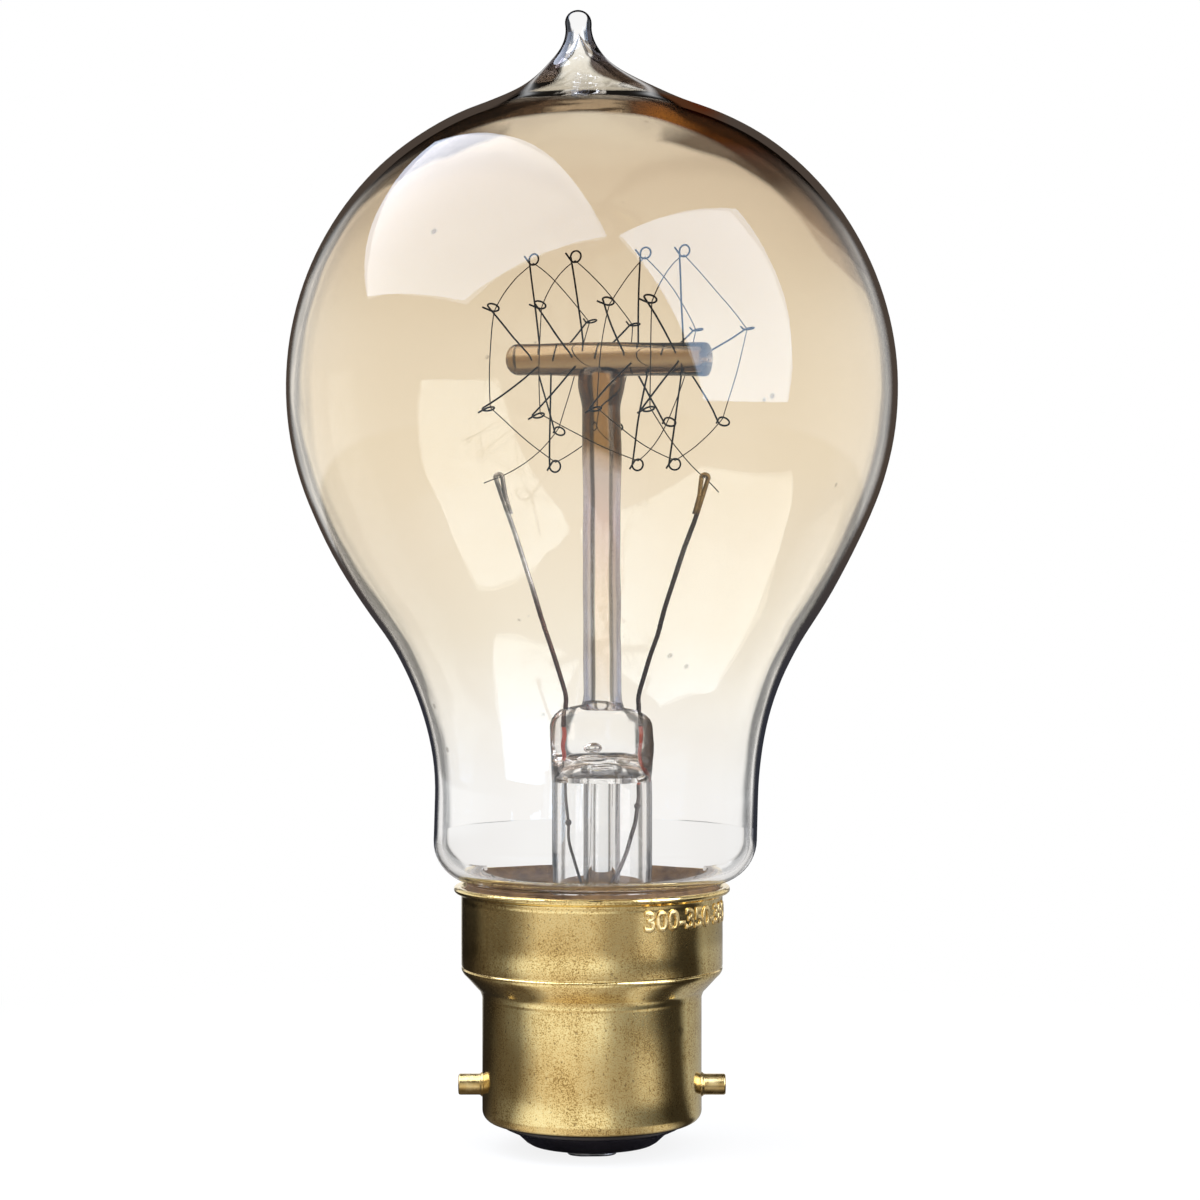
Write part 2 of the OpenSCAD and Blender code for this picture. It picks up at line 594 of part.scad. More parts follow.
module support(k) {
    color([0.45, 0.42, 0.36]) hook(hooks[k][0], hooks[k][1], hooks[k][2]);
}

envelope();
stem_flare();
stem_press();
exhaust_tube();
stem_rod();
crossbar();
filament();
support(0);  // support_top_1
support(1);  // support_top_2
support(2);  // support_top_3
support(3);  // support_top_4
support(4);  // support_front_upper_1
support(5);  // support_front_upper_2
support(6);  // support_front_upper_3
support(7);  // support_front_upper_4
support(8);  // support_front_lower_1
support(9);  // support_front_lower_2
support(10);  // support_front_lower_3
support(11);  // support_front_lower_4
support(12);  // support_bottom_1
support(13);  // support_bottom_2
support(14);  // support_bottom_3
support(15);  // support_back_lower_1
support(16);  // support_back_lower_2
support(17);  // support_back_lower_3
support(18);  // support_back_lower_4
support(19);  // support_back_upper_1
support(20);  // support_back_upper_2
support(21);  // support_back_upper_3
support(22);  // support_back_upper_4
color([0.72, 0.7, 0.66]) lead(-1);  // lead_left
color([0.72, 0.7, 0.66]) lead(1);  // lead_right
seal_wire(-1, seal_left_l);  // dumet_left
seal_wire(1, seal_right_l);  // dumet_right
color([0.7, 0.5, 0.35]) outer_lead(-1, outer_left_r);  // outer_lead_left
color([0.72, 0.68, 0.6]) outer_lead(1, outer_right_r);  // outer_lead_right
cap_shell();
bayonet_pin(-1);  // bayonet_pin_left
bayonet_pin(1);  // bayonet_pin_right
insulator();
contact_plate(-1);  // contact_front
contact_plate(1);  // contact_back
solder_pad(-1);  // solder_front
solder_pad(1);  // solder_back
cement();
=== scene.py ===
"""Looks of the incandescent bulb: blown amber glass, pinched stem, hook cage and brass cap.

Lengths below are in millimetres, and MM turns them into metres. Materials and lamps are written in
metres, because Object coordinates are, unless a comment there says millimetres.
The origin is where the bulb's axis meets the axis of the bayonet pins. +Z runs up to the pip,
+X along the right pin, and the viewer stands on the -Y side.
"""

import math
import random

import bpy
from mathutils import Matrix, Vector


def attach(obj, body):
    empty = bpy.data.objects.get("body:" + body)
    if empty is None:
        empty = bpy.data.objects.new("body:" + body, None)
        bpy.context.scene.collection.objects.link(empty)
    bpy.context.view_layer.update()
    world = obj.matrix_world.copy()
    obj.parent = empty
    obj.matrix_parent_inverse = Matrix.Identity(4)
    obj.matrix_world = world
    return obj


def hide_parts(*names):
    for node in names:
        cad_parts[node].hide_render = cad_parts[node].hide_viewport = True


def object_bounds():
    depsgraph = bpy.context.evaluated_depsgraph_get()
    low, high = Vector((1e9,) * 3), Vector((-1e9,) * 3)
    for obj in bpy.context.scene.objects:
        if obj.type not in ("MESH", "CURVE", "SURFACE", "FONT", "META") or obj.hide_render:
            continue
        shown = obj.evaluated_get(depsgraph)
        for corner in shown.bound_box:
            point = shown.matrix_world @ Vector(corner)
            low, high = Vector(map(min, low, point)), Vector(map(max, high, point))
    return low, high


MM = 0.001
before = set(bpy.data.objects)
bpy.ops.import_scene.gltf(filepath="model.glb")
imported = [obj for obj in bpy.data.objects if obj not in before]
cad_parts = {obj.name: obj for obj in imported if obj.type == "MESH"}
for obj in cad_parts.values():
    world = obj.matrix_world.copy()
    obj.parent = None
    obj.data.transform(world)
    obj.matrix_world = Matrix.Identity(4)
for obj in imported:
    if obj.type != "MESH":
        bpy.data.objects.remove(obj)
cad_low, cad_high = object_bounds()
chance = random.Random(11)

# Camera: level with the lower body of the glass. The last value is its lens's focal length
CAMERA_AWAY = 280
CAMERA_HIGH = 48.6
CAMERA_ASIDE = 0.8
CAMERA_LENS = 83.67

# Glass envelope: the arcs of crown, dome, haunch and fillet run into each other down to the neck, whose lower
# end curls in to the seal. Latitudes are in degrees up from the dome's middle, and the drop is down from it
DOME_R, DOME_Z = 30.55, 69.7
CROWN_LAT, CROWN_R = 40, 27.7
DOME_DROP = 22
HAUNCH_R, FILLET_R = 60.2, 29.5
NECK_R, CURL_Z, CURL_R = 16.2, 24.6, 4.3
WALL = 0.75
SEAL_R, SEAL_Z, SEAL_T = 12.2, 13.5, 1.2
# Pip: the latitude at which it leaves the crown, its top, its waist, and the knob on it
PIP_LAT, PIP_TOP, PIP_WAIST_R, PIP_WAIST_Z = 68.4, 107.8, 1.31, 106.0
KNOB_R, KNOB_X = 1.28, 0.06
# The pip's bore, from its closed top down: radius, height
PIP_BORE = ((0, 105.3), (0.16, 104.8), (0.85, 103.3), (2.0, 102.1), (4.0, 100.45), (7.0, 98.75))
# How far the blown glass leans to the right: height, shift
LEAN = ((SEAL_Z, 0.0), (22.0, 0.3), (32.0, 0.5), (42.0, 0.35), (55.0, 0.0), (70.0, 0.0), (85.0, -0.05),
        (94.0, -0.05), (99.0, -0.35), (103.0, -1.25), (PIP_TOP, -1.4))

# Stem: its axis stands a little to the right of the cap's
MOUNT_X = 1.0
TUBE_R, TUBE_WALL = 5.05, 0.8
FLARE_R = 9.0
PRESS_Z, PRESS_TOP = 30.5, 38.0
# Sections of the press above the round tube: height, share of the tube's width, share of its depth
PRESS_SECTIONS = ((31.2, 1.0, 0.86), (31.8, 1.01, 0.66), (32.5, 1.02, 0.48), (33.3, 1.035, 0.385),
                  (34.2, 1.04, 0.355), (35.2, 1.035, 0.36), (36.2, 1.025, 0.37), (36.9, 1.0, 0.36),
                  (37.4, 0.95, 0.33), (37.75, 0.86, 0.28), (37.95, 0.70, 0.2), (38.0, 0.45, 0.12))
# Air pockets in the press: x from its middle, height, radius, stretch
PRESS_POCKETS = ((-0.9, 33.85, 0.60, (1.5, 1.2, 1.0)), (-0.9, 32.50, 0.62, (2.5, 1.2, 0.85)),
                 (-3.5, 32.15, 0.48, (1.4, 1.0, 0.8)), (1.9, 32.10, 0.45, (1.7, 1.0, 0.8)),
                 (3.5, 31.70, 0.35, (1.5, 1.0, 0.8)))
EXHAUST_R, EXHAUST_BORE_R, EXHAUST_TIP_Z = 1.85, 1.05, 8.0
ROD_R, JOINT_R = 1.9, 2.35
# Crossbar: its turn towards the viewer and the hang of its right end are in degrees
BAR_R, BAR_L, BAR_Z, BAR_X, BAR_TURN, BAR_HANG = 1.7, 22.0, 72.65, 1.4, 25, 2.0

# Wires
HOOK_WIRE_R, HOOK_REACH, LOOP_R = 0.095, 11.2, 0.58
FILAMENT_R = 0.055
LEAD_R, LEAD_X, LEAD_TOP_X, LEAD_TOP_Z = 0.24, 3.7, 10.35, 61.2
LEAD_FOLD, LEAD_BEND_R = 3.6, 0.36
SEAL_TOP, SEAL_LENGTHS = 36.0, {-1: 3.5, 1: 5.9}
# Routes of the outer leads: shares of the leads' spacing, of the contacts' spacing and of the press's height
ROUTES = {
    -1: ((-0.92, 0.06, 0.866), (-0.91, 0.11, 0.81), (-0.78, 0.22, 0.748), (-0.65, 0.39, 0.675),
         (-0.57, 0.67, 0.59), (-0.51, 0.89, 0.49), (-0.46, 1.06, 0.36), (-0.38, 1.08, 0.23)),
    1: ((0.96, -0.06, 0.918), (0.89, -0.17, 0.866), (0.78, -0.33, 0.826), (0.62, -0.53, 0.761),
        (0.43, -0.69, 0.695), (0.24, -0.81, 0.633), (0.05, -0.92, 0.49), (-0.08, -1.06, 0.36),
        (-0.19, -1.08, 0.23)),
}

# Cap
BARREL_R, BARREL_LOW, BARREL_EDGE, MOUTH_R = 11.0, -3.5, 1.1, 9.6
SHOULDER_Z, SHOULDER_H = 9.2, 2.3
SKIRT_R, RIM_R, RIM_Z, RIM_H = 13.1, 13.85, 20.0, 1.3
SHEET = 0.4
PIN_R, PIN_TIP = 1.05, 13.4
CONTACT_Y, CONTACT_Z = 3.6, -6.1
# Contact plates and their solder: length, width, underside, top
PLATE_SIZE, SOLDER_SIZE = (5.0, 3.4, -5.9, -5.32), (4.9, 3.3, -6.26, -5.88)
# Stamped numbers: where they start, in degrees to the right of the middle, and the height of their foot
NUMBERS_START, NUMBERS_LOW = 22.5, 16.7


class Wire:
    """A socket's output in a node tree. The usual signs add its Math nodes."""

    def __init__(self, finish, socket):
        self.finish, self.socket = finish, socket

    def maths(self, operation, *others):
        return self.finish.add("ShaderNodeMath", {"operation": operation},
                               dict(enumerate((self, *others))))

    def __add__(self, other):
        return self.maths("ADD", other)

    def __mul__(self, other):
        return self.maths("MULTIPLY", other)

    def __sub__(self, other):
        return self.maths("SUBTRACT", other)

    def __truediv__(self, other):
        return self.maths("DIVIDE", other)

    def __pow__(self, other):
        return self.maths("POWER", other)

    def __rsub__(self, other):
        return self.maths("MULTIPLY", -1.0) + other

    __radd__, __rmul__ = __add__, __mul__


class Finish:
    """A material or the world while its nodes are added."""

    def __init__(self, owner):
        self.owner = owner
        owner.use_nodes = True
        self.tree = owner.node_tree
        self.tree.nodes.clear()

    def add(self, kind, settings=None, values=None, out=0):
        """Adds one node: its settings first, then its sockets' values or links. Colours need no alpha."""
        node = self.tree.nodes.new(kind)
        for name, value in (settings or {}).items():
            if name == "stops":
                fill_ramp(node.color_ramp, value)
            else:
                setattr(node, name, value)
        for name, value in (values or {}).items():
            socket = node.inputs[name]
            if isinstance(value, Wire):
                self.tree.links.new(value.socket, socket)
            elif value is not None:
                socket.default_value = (*value, 1) if socket.type == "RGBA" and len(value) == 3 else value
        return Wire(self, node.outputs[out]) if len(node.outputs) else node

    def place(self):
        """Object coordinates, in metres."""
        return self.add("ShaderNodeTexCoord", out="Object")

    def axes(self, vector):
        return [self.add("ShaderNodeSeparateXYZ", values={"Vector": vector}, out=letter) for letter in "XYZ"]

    def stretched(self, vector, scale):
        return self.add("ShaderNodeMapping", values={"Vector": vector, "Scale": scale})

    def slant(self):
        """0 where a surface is seen square on, 1 where it is seen edge-on."""
        return self.add("ShaderNodeLayerWeight", values={"Blend": 0.5}, out="Facing")

    def ray(self, kind):
        return self.add("ShaderNodeLightPath", out=f"Is {kind} Ray")

    def between(self, value, low, high, to_low=0.0, to_high=1.0, smooth=True):
        """value taken from low..high to to_low..to_high, held at both ends."""
        kind = "SMOOTHSTEP" if smooth else "LINEAR"
        return self.add("ShaderNodeMapRange", {"interpolation_type": kind, "clamp": True},
                        {"Value": value, 1: low, 2: high, 3: to_low, 4: to_high})

    def noise(self, vector, scale, detail=3.0, rough=0.5):
        return self.add("ShaderNodeTexNoise", values={
            "Vector": vector, "Scale": scale, "Detail": detail, "Roughness": rough})

    def ramp(self, value, stops):
        return self.add("ShaderNodeValToRGB", {"stops": stops}, {"Fac": value})

    def mix(self, share, first, second, blend="MIX"):
        """Two colours mixed; share 0 is the first."""
        return self.add("ShaderNodeMix", {"data_type": "RGBA", "blend_type": blend},
                        {0: share, 6: first, 7: second}, out=2)

    def both(self, share, first, second):
        """Two shaders mixed; share 0 is the first."""
        return self.add("ShaderNodeMixShader", values={0: share, 1: first, 2: second})

    def bump(self, height, strength, distance):
        return self.add("ShaderNodeBump", values={
            "Height": height, "Strength": strength, "Distance": distance})

    def clear(self, colour):
        """A skin that only colours what is seen through it."""
        return self.add("ShaderNodeBsdfTransparent", values={"Color": colour})

    def glass(self, tint, gloss_tint, gloss=0.5):
        return self.add("ShaderNodeBsdfPrincipled", values={
            "Base Color": tint, "Roughness": 0.0, "IOR": 1.5, "Transmission Weight": 1.0,
            "Specular IOR Level": gloss, "Specular Tint": gloss_tint})

    def solid(self, colour, rough, relief, metallic=0.0, ior=None):
        """A finished opaque surface."""
        return self.surface(self.add("ShaderNodeBsdfPrincipled", values={
            "Base Color": colour, "Roughness": rough, "Normal": relief, "Metallic": metallic, "IOR": ior}))

    def see_through(self, glass):
        """Finished glass that lets the lamps' light through to what stands behind it."""
        return self.surface(self.both(self.ray("Shadow"), glass, self.clear((0.93, 0.91, 0.88))))

    def surface(self, shader, output="ShaderNodeOutputMaterial"):
        self.add(output, values={"Surface": shader})
        return self.owner


def fill_ramp(ramp, stops):
    while len(ramp.elements) > 1:
        ramp.elements.remove(ramp.elements[-1])
    for i, (spot, colour) in enumerate(stops):
        step = ramp.elements[0] if i == 0 else ramp.elements.new(spot)
        step.position = spot
        step.color = (*colour, 1.0)


def new_finish(name):
    return Finish(bpy.data.materials.new(name))


# Glass: heights and widths in metres, as Object coordinates give them

# Lustre of the envelope, from inside the cap up to the pip
LUSTRE_LOW, LUSTRE_TOP = 0.015, 0.108
LUSTRE = (
    (0.00, (0.985, 0.985, 0.988)), (0.16, (0.985, 0.982, 0.972)), (0.24, (0.980, 0.960, 0.915)),
    (0.33, (0.970, 0.928, 0.840)), (0.42, (0.955, 0.898, 0.795)), (0.50, (0.940, 0.872, 0.752)),
    (0.58, (0.920, 0.845, 0.718)), (0.66, (0.895, 0.818, 0.690)), (0.77, (0.850, 0.765, 0.640)),
    (0.86, (0.825, 0.738, 0.615)), (0.905, (0.955, 0.915, 0.820)), (0.94, (1.0, 0.985, 0.93)),
    (0.97, (1.0, 1.0, 0.99)))

# Stem glass by height in millimetres: its colour, and the painted shade that darkens its edges where they are
# seen edge-on
CLEAR, EDGE_SHADE_GREY = (0.985, 0.983, 0.980), (0.09, 0.087, 0.093)
CLEAR_TINTS, GREY_EDGE_SHADES = ((8, CLEAR), (40, CLEAR)), ((8, EDGE_SHADE_GREY), (40, EDGE_SHADE_GREY))
# The rod: pale low down, lilac and grey higher up as a painted reflection of the light patch on the glass in
# front, and brown near the crossbar
ROD_TINTS_AND_REFLECTION = (
    (36, (0.98, 0.97, 0.95)), (44, (0.96, 0.88, 0.80)), (49, (0.93, 0.83, 0.74)), (57, (0.80, 0.70, 0.74)),
    (61.5, (0.68, 0.64, 0.70)), (63.2, (0.60, 0.50, 0.44)), (64.0, (0.33, 0.20, 0.075)),
    (72, (0.34, 0.20, 0.075)))
ROD_EDGE_SHADES = (
    (36, (0.42, 0.46, 0.62)), (48, (0.42, 0.46, 0.62)), (57, (0.58, 0.62, 0.76)), (62, (0.80, 0.82, 0.90)),
    (63.4, (0.40, 0.36, 0.36)), (64.4, (0.16, 0.11, 0.08)), (72, (0.16, 0.11, 0.08)))
# The crossbar: brown glass, near black underneath as painted shade, with a painted highlight band near its
# top and dark again at the very top
BAR_TINTS_AND_LIGHT = (
    (70.8, (0.020, 0.010, 0.004)), (71.7, (0.050, 0.025, 0.010)), (72.1, (0.16, 0.10, 0.045)),
    (72.8, (0.11, 0.050, 0.012)), (73.2, (0.15, 0.075, 0.022)), (73.5, (0.66, 0.46, 0.26)),
    (74.1, (0.62, 0.42, 0.24)), (74.5, (0.05, 0.02, 0.01)))
BAR_EDGE_SHADES = ((70, (0.60, 0.50, 0.42)), (75, (0.60, 0.50, 0.42)))


def tinted_glass():
    """The envelope. Its lustre has faded away at the neck, and painted shade draws dark lines where it is
    seen edge-on.
    The back of the curl stays plain, so that it bends nothing a second time."""
    f = new_finish("amber_lustre_glass")
    place = f.place()
    side, deep, high = f.axes(place)
    slant = f.slant()
    right = side.maths("MAXIMUM", 0.0)
    curl_back = f.between(deep, 0.0025, 0.0027) * f.between(high, 0.0255, 0.0254)
    at_seal = (f.between((side * side + deep * deep) ** 0.5, 0.0138, 0.0125)
               * f.between(high, 0.0236, 0.0222))
    lined = (1 - curl_back) * (1 - at_seal)
    at_curl = f.between(high, 0.0255, 0.0225, 0.0, 0.18)

    # Painted shade: dark inner lines in the tint where the skin is seen edge-on
    inner_start = f.between(high, 0.028, 0.066, 0.78, 0.84) - side * 2.0 - right * 2.0 + at_curl
    inner_painted_shade = f.mix(f.between(high, 0.03, 0.07), (0.05, 0.05, 0.055), (0.15, 0.12, 0.10))
    tint = f.mix(f.between(slant - inner_start, 0.0, 0.04) * lined, lustre(f, place, high), inner_painted_shade)
    tint = painted_crown_shade(f, place, side, deep, high, slant, tint)
    tint = painted_pip_shade(f, high, slant, tint)
    glass = f.glass(tint, (0.60, 0.80, 1.0), gloss=1.0)

    # Painted shade: the dark rim line, mixed in where the skin is seen edge-on
    outer_start = (f.between(high, 0.045, 0.060, 0.74, 0.80) - f.between(high, 0.082, 0.092) * 0.10
                   - right * 2.0 + at_curl - f.between(high, 0.1030, 0.1060) * 0.22)
    pip_foot = f.between(high, 0.0945, 0.0965) * f.between(high, 0.1045, 0.1025)
    near_axis = f.between(side.maths("ABSOLUTE"), 0.0098, 0.0045)
    outer_start = outer_start + near_axis * (pip_foot * 0.16)
    rim = f.between(slant - outer_start, 0.0, 0.09) * lined
    glass = f.both(rim, glass, painted_rim_shade(f, side, deep, high))

    eye = (f.between(slant - f.between(high, 0.1062, 0.1074) * 0.30, 0.24, 0.18)
           * f.between(high, 0.1054, 0.1061))
    plain = f.clear((0.965, 0.963, 0.960))
    return f.see_through(f.both(curl_back.maths("MAXIMUM", eye), glass, plain))


def lustre(f, place, high):
    """Amber that is strongest on the dome and drifts a little in height, with rare specks of dirt."""
    drift = f.noise(place, 38.0, 3.0, 0.55) - 0.5
    tint = f.ramp(f.between(high + drift * 0.006, LUSTRE_LOW, LUSTRE_TOP, smooth=False), LUSTRE)
    speck = f.add("ShaderNodeTexVoronoi", {"feature": "F1"}, {"Vector": place, "Scale": 260.0}, "Distance")
    dirt = f.between(speck, 0.10, 0.05) * f.between(f.noise(place, 90.0, 1.0), 0.62, 0.66)
    return f.mix(dirt * 0.7, tint, (0.08, 0.05, 0.03))


def painted_crown_shade(f, place, side, deep, high, slant, tint):
    """Painted shade on the crown: a brown band where it is seen edge-on, streaked below the pip, orange at
    the right of the front, and darkest where it is seen most edge-on. It lies thickest round the pip and down
    the right of the crown."""
    wave = f.noise(place, 55.0, 2.0, 0.5) - 0.5
    to_right = f.between(side, -0.004, 0.012)
    start = (f.between(high, 0.085, 0.096, 0.82, 0.57) * (1 - to_right)
             + f.between(high, 0.077, 0.085, 0.82, 0.54) * to_right + wave * 0.10)
    below_pip = f.between(high + wave * 0.002, 0.0985, 0.0962)
    # Painted shade: the band shows only where the crown is seen edge-on
    band = f.between(slant - start, 0.0, 0.04) * f.between(high, 0.074, 0.080) * below_pip

    aside = f.between((side + 0.0005).maths("ABSOLUTE"), 0.0020, 0.0045)
    streak = f.between(f.noise(f.stretched(place, (1, 1, 7)), 170.0, 2.0), 0.42, 0.58)
    orange = f.between(side, 0.003, 0.007) * f.between(deep, 0.002, -0.002)
    crown_shade_colour = f.mix(orange, (0.016, 0.007, 0.003), (0.14, 0.022, 0.001))
    crown_shade_colour = f.mix(aside, f.mix(streak, (0.30, 0.19, 0.10), (0.018, 0.009, 0.004)), crown_shade_colour)
    amber = f.mix(f.between(high, 0.087, 0.092), (0.42, 0.33, 0.26), crown_shade_colour)
    amber = f.mix(f.between(slant, 0.64, 0.84) * aside, amber, (0.025, 0.010, 0.004))
    return f.mix(band, tint, amber)


def painted_pip_shade(f, high, slant, tint):
    """Painted shade: near-black glass where the flanks of the pip are seen edge-on."""
    start = (f.between(high, 0.0982, 0.1025, 0.815, 0.49, smooth=False)
             - f.between(high, 0.1025, 0.1060) * 0.33)
    # Painted shade, only where the pip's flanks are seen edge-on
    flank = f.between(high, 0.0945, 0.0960) * f.between(slant - start, 0.0, 0.03)
    edge_shade = f.mix(f.between(high, 0.0995, 0.1035), (0.030, 0.017, 0.011), (0.012, 0.011, 0.015))
    return f.mix(flank, tint, edge_shade)


def painted_rim_shade(f, side, deep, high):
    """The painted shade line round the envelope, where it is seen edge-on: grey at the neck, browner above,
    orange at the right of the pip's foot, and near black at the pip."""
    fiery = (f.between(side, 0.003, 0.006) * f.between(side, 0.014, 0.010) * f.between(deep, 0.002, -0.002)
             * f.between(high, 0.0985, 0.0975) * f.between(high, 0.0930, 0.0945))
    edge_shade = f.clear((0.17, 0.175, 0.20))
    for share, colour in ((f.between(high, 0.035, 0.060), (0.26, 0.225, 0.20)),
                          (fiery * 0.8, (0.30, 0.10, 0.025)),
                          (f.between(high, 0.101, 0.104), (0.06, 0.058, 0.066))):
        edge_shade = f.both(share, edge_shade, f.clear(colour))
    return edge_shade


def stem_clear(name, tints, edge_shades, start, lean=0.0, outer_r=0.0, tinted_front_only=False, extra=None):
    """Stem glass, tinted by height and darkened by painted edge shade from a slant of start on, where it is
    seen edge-on.
    lean tilts the colours' levels, and with outer_r only the skin at that radius has the painted edge shade.
    On the crossbar only the front is stained. extra lays one more shader over the glass."""
    f = new_finish(name)
    place = f.place()
    side, y, level = f.axes(place)
    x = side - MOUNT_X * MM
    high = level + x * lean
    outside = f.between((x * x + y * y) ** 0.5, (outer_r - 0.3) * MM, (outer_r - 0.2) * MM)
    # Painted shade: darkens the glass where it is seen edge-on
    painted_edge_shade = f.between(f.slant(), start, start + 0.07) * outside
    tint = f.mix(painted_edge_shade, height_ramp(f, high, tints), height_ramp(f, high, edge_shades), blend="MULTIPLY")
    # Only the front, towards the viewer, keeps the tints and their painted light; the back is pale
    if tinted_front_only:
        turn = math.radians(BAR_TURN)
        depth = x * math.sin(turn) + y * math.cos(turn)
        tint = f.mix(f.between(depth, 0.0, 0.0004), tint, (0.90, 0.86, 0.78))
    glass = f.glass(tint, (1.0, 0.88, 0.76))
    if extra:
        glass = extra(f, place, glass)
    return f.see_through(glass)


def height_ramp(f, high, tints):
    low, top = tints[0][0], tints[-1][0]
    level = f.between(high, low * MM, top * MM, smooth=False)
    return f.ramp(level, [((z - low) / (top - low), colour) for z, colour in tints])


def brown_press_corner(f, place, glass):
    """A ragged brown patch at the right of the press."""
    side, _, high = f.axes(place)
    ragged = side - MOUNT_X * MM + (f.noise(place, 700.0, 2.0) - 0.5) * 0.0012
    corner = (f.between(ragged, 0.0038, 0.0042) * f.between(high, 0.0310, 0.0325)
              * f.between(high, 0.0374, 0.0366))
    return f.both(corner * 0.85, glass, f.clear((0.22, 0.16, 0.11)))


def milky_foot(f, place, glass):
    """A cloudy bloom on the foot of the flare, inside the cap."""
    high = f.axes(place)[2]
    bloom = f.add("ShaderNodeBsdfDiffuse", values={"Color": (0.72, 0.62, 0.54)})
    share = f.between(high, 0.0185, 0.0160) * f.between(f.noise(place, 300.0, 2.0), 0.3, 0.7, 0.35, 0.75)
    return f.both(share, glass, bloom)


# Metals, cap and cement


def wire_metal(name, dark, light, scale, metallic, rough):
    """Drawn wire with blotches along it, rougher where it is lighter."""
    f = new_finish(name)
    place = f.place()
    blot = f.noise(place, scale, 4.0, 0.6)
    relief = f.bump(f.noise(place, scale * 9, 2.0), 0.25, 0.00005)
    return f.solid(f.ramp(blot, [(0.35, dark), (0.65, light)]),
                   f.between(blot, 0.3, 0.7, rough, rough + 0.15), relief, metallic)


def lead_metal(name, lower, upper, fold):
    """Nickel lead: darker and browner near the press, lighter higher up, with its own colour at the fold."""
    f = new_finish(name)
    place = f.place()
    blot = f.noise(place, 450.0, 4.0, 0.6)
    high = f.axes(place)[2]
    colour = f.mix(f.between(high, 0.047, 0.053), lower, upper)
    colour = f.mix(f.between(high, 0.0570, 0.0578), colour, fold)
    colour = f.mix(f.between(blot, 0.40, 0.62) * 0.5, colour, (0.03, 0.02, 0.015))
    return f.solid(colour, f.between(blot, 0.3, 0.7, 0.22, 0.4),
                   f.bump(f.noise(place, 4000.0, 2.0), 0.25, 0.00005), metallic=0.85)


def cap_brass():
    """Old rolled brass with a fine dark speckle and a few brown stains; cement-coloured inside, pale at the
    left and dark at the right.
    """
    f = new_finish("mottled_cap_brass")
    place = f.place()
    cloud = f.noise(place, 220.0, 3.0, 0.55)
    mottle = f.noise(place, 3200.0, 2.0, 0.6)
    grain = f.noise(place, 8500.0, 2.0, 0.7)
    streak = f.noise(f.stretched(place, (1, 1, 0.12)), 2600.0, 2.0, 0.6)
    tone = cloud * 0.24 + mottle * 0.12 + grain * 0.54 + streak * 0.10
    colour = f.ramp(tone, [
        (0.40, (0.36, 0.24, 0.08)), (0.45, (0.70, 0.50, 0.19)), (0.49, (0.95, 0.73, 0.32)),
        (0.56, (1.0, 0.85, 0.43))])
    stain = f.between(f.noise(place, 420.0, 4.0, 0.6), 0.66, 0.74) * 0.5
    pits = f.between(f.noise(place, 2900.0, 1.0, 0.5), 0.68, 0.74) * 0.5
    colour = f.mix(stain.maths("MAXIMUM", pits), colour, (0.16, 0.09, 0.03))
    x, y, z = f.axes(place)
    skirt_in, skirt_out = 0.01293 ** 2, 0.01303 ** 2
    inside = f.between(x * x + y * y, skirt_out, skirt_in) * f.between(z, 0.0115, 0.012)
    inside_tone = f.mix(f.between(x, 0.004, -0.005), (0.40, 0.28, 0.19), (0.86, 0.68, 0.50))
    relief = mottle * 0.2 + grain * 0.5 + streak * 0.1 - pits * 0.5
    return f.solid(f.mix(inside, colour, inside_tone), f.between(tone, 0.40, 0.58, 0.16, 0.09),
                   f.bump(relief, 0.17, 0.00004), metallic=1 - inside)


def clouded(name, scale, detail, lumps, tones, rough, bump, metallic=0.0, ior=None):
    """A finish whose colour and roughness drift with one cloud. tones are its two colours, each with its
    level in the cloud. bump is the relief's scale, strength and depth. With no scale, it is the cloud."""
    f = new_finish(name)
    place = f.place()
    cloud = f.noise(place, scale, detail, lumps)
    relief = f.noise(place, bump[0], 2.0) if bump[0] else cloud
    return f.solid(f.ramp(cloud, tones), f.between(cloud, 0.3, 0.7, *rough), f.bump(relief, *bump[1:]),
                   metallic, ior)


def bright_brass(name):
    return clouded(name, 700.0, 3.0, 0.6, [(0.35, (0.62, 0.42, 0.15)), (0.6, (0.86, 0.66, 0.31))],
                   (0.22, 0.34), (2400.0, 0.3, 0.00004), metallic=1.0)


def black_glass():
    return clouded("black_cap_glass", 260.0, 3.0, 0.5,
                   [(0.3, (0.006, 0.005, 0.006)), (0.7, (0.016, 0.013, 0.014))], (0.08, 0.16),
                   (500.0, 0.15, 0.0001), ior=1.55)


def solder_grey():
    return clouded("dull_solder", 900.0, 4.0, 0.6, [(0.35, (0.30, 0.30, 0.31)), (0.65, (0.58, 0.58, 0.60))],
                   (0.3, 0.5), (None, 0.5, 0.0001), metallic=1.0)


def basing_cement():
    return clouded("brown_basing_cement", 420.0, 5.0, 0.65,
                   [(0.35, (0.09, 0.045, 0.018)), (0.65, (0.27, 0.16, 0.07))], (0.55, 0.8),
                   (None, 0.7, 0.0003))


# Surroundings that metal and glass show

